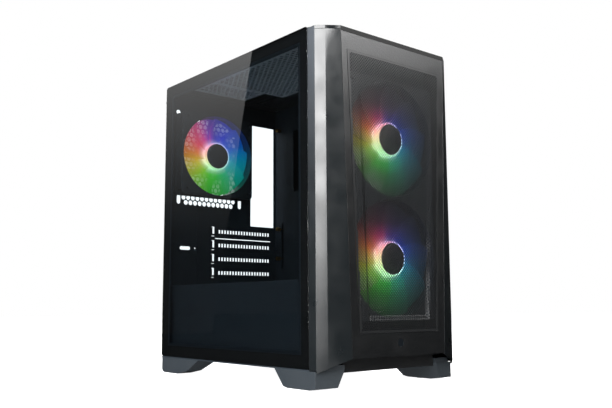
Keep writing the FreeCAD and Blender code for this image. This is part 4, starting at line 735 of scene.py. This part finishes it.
field = bmesh.new()
count = int(2 * BLANK_HALF / HOLE_PITCH)
bmesh.ops.create_grid(field, x_segments=count, y_segments=count, size=BLANK_HALF)
for degrees, axis in ((45, "Z"), (90, "X")):
    turned = Matrix.Rotation(math.radians(degrees), 3, axis)
    bmesh.ops.rotate(field, cent=(0, 0, 0), matrix=turned, verts=field.verts)
bmesh.ops.translate(field, vec=(0, sheet_low.y, (sheet_low.z + sheet_high.z) / 2), verts=field.verts)
lean = math.atan((HEAD_HALF - FOOT_HALF) / (sheet_high.z - sheet_low.z))


def trim_outline(shell, inset, clear):
    """Cuts along the sheet's outline, moved in by an inset."""
    trim(shell, (0, 0, sheet_low.z + inset), (0, 0, -1), clear)
    trim(shell, (0, 0, sheet_high.z - inset), (0, 0, 1), clear)
    for sign in (-1, 1):
        point = (sign * edge_half(sheet_low.z, inset), 0, sheet_low.z)
        trim(shell, point, (sign * math.cos(lean), 0, -math.sin(lean)), clear)


trim_outline(field, 0.0, True)
trim_outline(field, MESH_RIM, False)
whole = HOLE_PITCH ** 2
cells = [f for f in field.faces if f.calc_area() > whole * 0.97]
bmesh.ops.inset_individual(field, faces=cells, thickness=HOLE_WEB / 2)
bmesh.ops.delete(field, geom=cells, context="FACES")
for vert in field.verts:
    z = vert.co.z
    side = (edge_half(z, RECESS) - abs(vert.co.x)) * math.cos(lean)
    foot, head = z - sheet_low.z - RECESS, sheet_high.z - RECESS - z
    wall = min(side, foot, head, RECESS_WALL) / RECESS_WALL
    deep = RECESS_DEPTH * head / (sheet_high.z - sheet_low.z - 2 * RECESS)
    vert.co.y = sheet_low.y + SHEET_SETBACK + max(0.0, wall) * max(0.0, deep)
field.normal_update()
bmesh.ops.solidify(field, geom=field.faces[:], thickness=-MESH_THICK)
bmesh.ops.recalc_face_normals(field, faces=field.faces)
piece_of(field, "perforated_front", "front_panel", [mesh_paint], ["front_mesh"], crisp=30)

badge_metal = turned_metal("satin_anodised_badge", "#5d6872", 0.35)
dress(badge_metal, "front_badge")

# ---- Front sockets -----------------------------------------------------------------------------
# A moulded strip in the roof with two buttons, a headset jack and two sockets, over a small board.
piece_of(merged("io_bezel"), "socket_strip", "root", [plain_abs], ["io_bezel"], edge=0.0004)
for button in ("power_button", "reset_button"):
    piece_of(merged(button), button + "_cap", button, [corner_abs], [button], edge=0.0004)
tin = turned_metal("tinned_steel", "#a9abad", 0.28)
dress(tin, "usb_sockets")
dress(plain_abs, "audio_socket", "tact_switches")
board_ink, tree = new_material("black_solder_mask")
here = add_node(tree, "TexCoord")
weave = add_node(tree, "TexWave", {"Scale": 320.0, "Distortion": 0.4}, {"Vector": here.outputs["Object"]})
tone = add_node(tree, "Mix", {6: linear("#0c120f"), 7: linear("#16211b")}, {0: weave.outputs[1]},
                data_type="RGBA")
mask = add_node(tree, "BsdfPrincipled", {"Roughness": 0.3}, {"Base Color": tone.outputs[2]})
add_node(tree, "OutputMaterial", links={"Surface": mask.outputs[0]})
dress(board_ink, "io_board")

# ---- Dust filters ------------------------------------------------------------------------------
# Woven nylon, moulded into thin frames: a magnetic one on the roof, and one that slides out to the
# rear under the power supply. The weave is 1 mm; drawn at 2 mm so that it shows.
nylon = moulded_abs("woven_nylon", "#1c1c1d", 0.5, GRAIN, 0.2, 0.05)
WEAVE_PITCH, WIRE = 0.0020, 0.0009


def lay_wires(shell, low, high, step, count):
    """A wire between two corners, and copies of it in a row."""
    ends = add_block(shell, low, high)
    sides = {f for v in ends for f in v.link_faces}
    edges = {e for v in ends for e in v.link_edges}
    add_row(shell, list(sides) + list(edges) + ends, step, count)


def woven_filter(node, rim):
    """A flat frame with a plain weave of wires across its window."""
    low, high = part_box(node)
    shell = bmesh.new()
    x0, x1, y0, y1, z = low.x + rim, high.x - rim, low.y + rim, high.y - rim, low.z
    for a, b in (((low.x, low.y), (x0, high.y)), ((x1, low.y), (high.x, high.y)),
                 ((x0, low.y), (x1, y0)), ((x0, y1), (x1, high.y))):
        add_block(shell, (*a, z), (*b, high.z))
    lay_wires(shell, (x0, y0, z), (x0 + WIRE, y1, z + WIRE), (WEAVE_PITCH, 0, 0),
              int((x1 - x0) / WEAVE_PITCH))
    lay_wires(shell, (x0, y0, z + WIRE / 2), (x1, y0 + WIRE, z + WIRE * 1.5), (0, WEAVE_PITCH, 0),
              int((y1 - y0) / WEAVE_PITCH))
    return shell


FILTER_RIM = 0.007
piece_of(woven_filter("top_dust_filter", FILTER_RIM), "roof_filter", "top_filter", [nylon],
         ["top_dust_filter"])
dress(nylon, "psu_dust_filter")
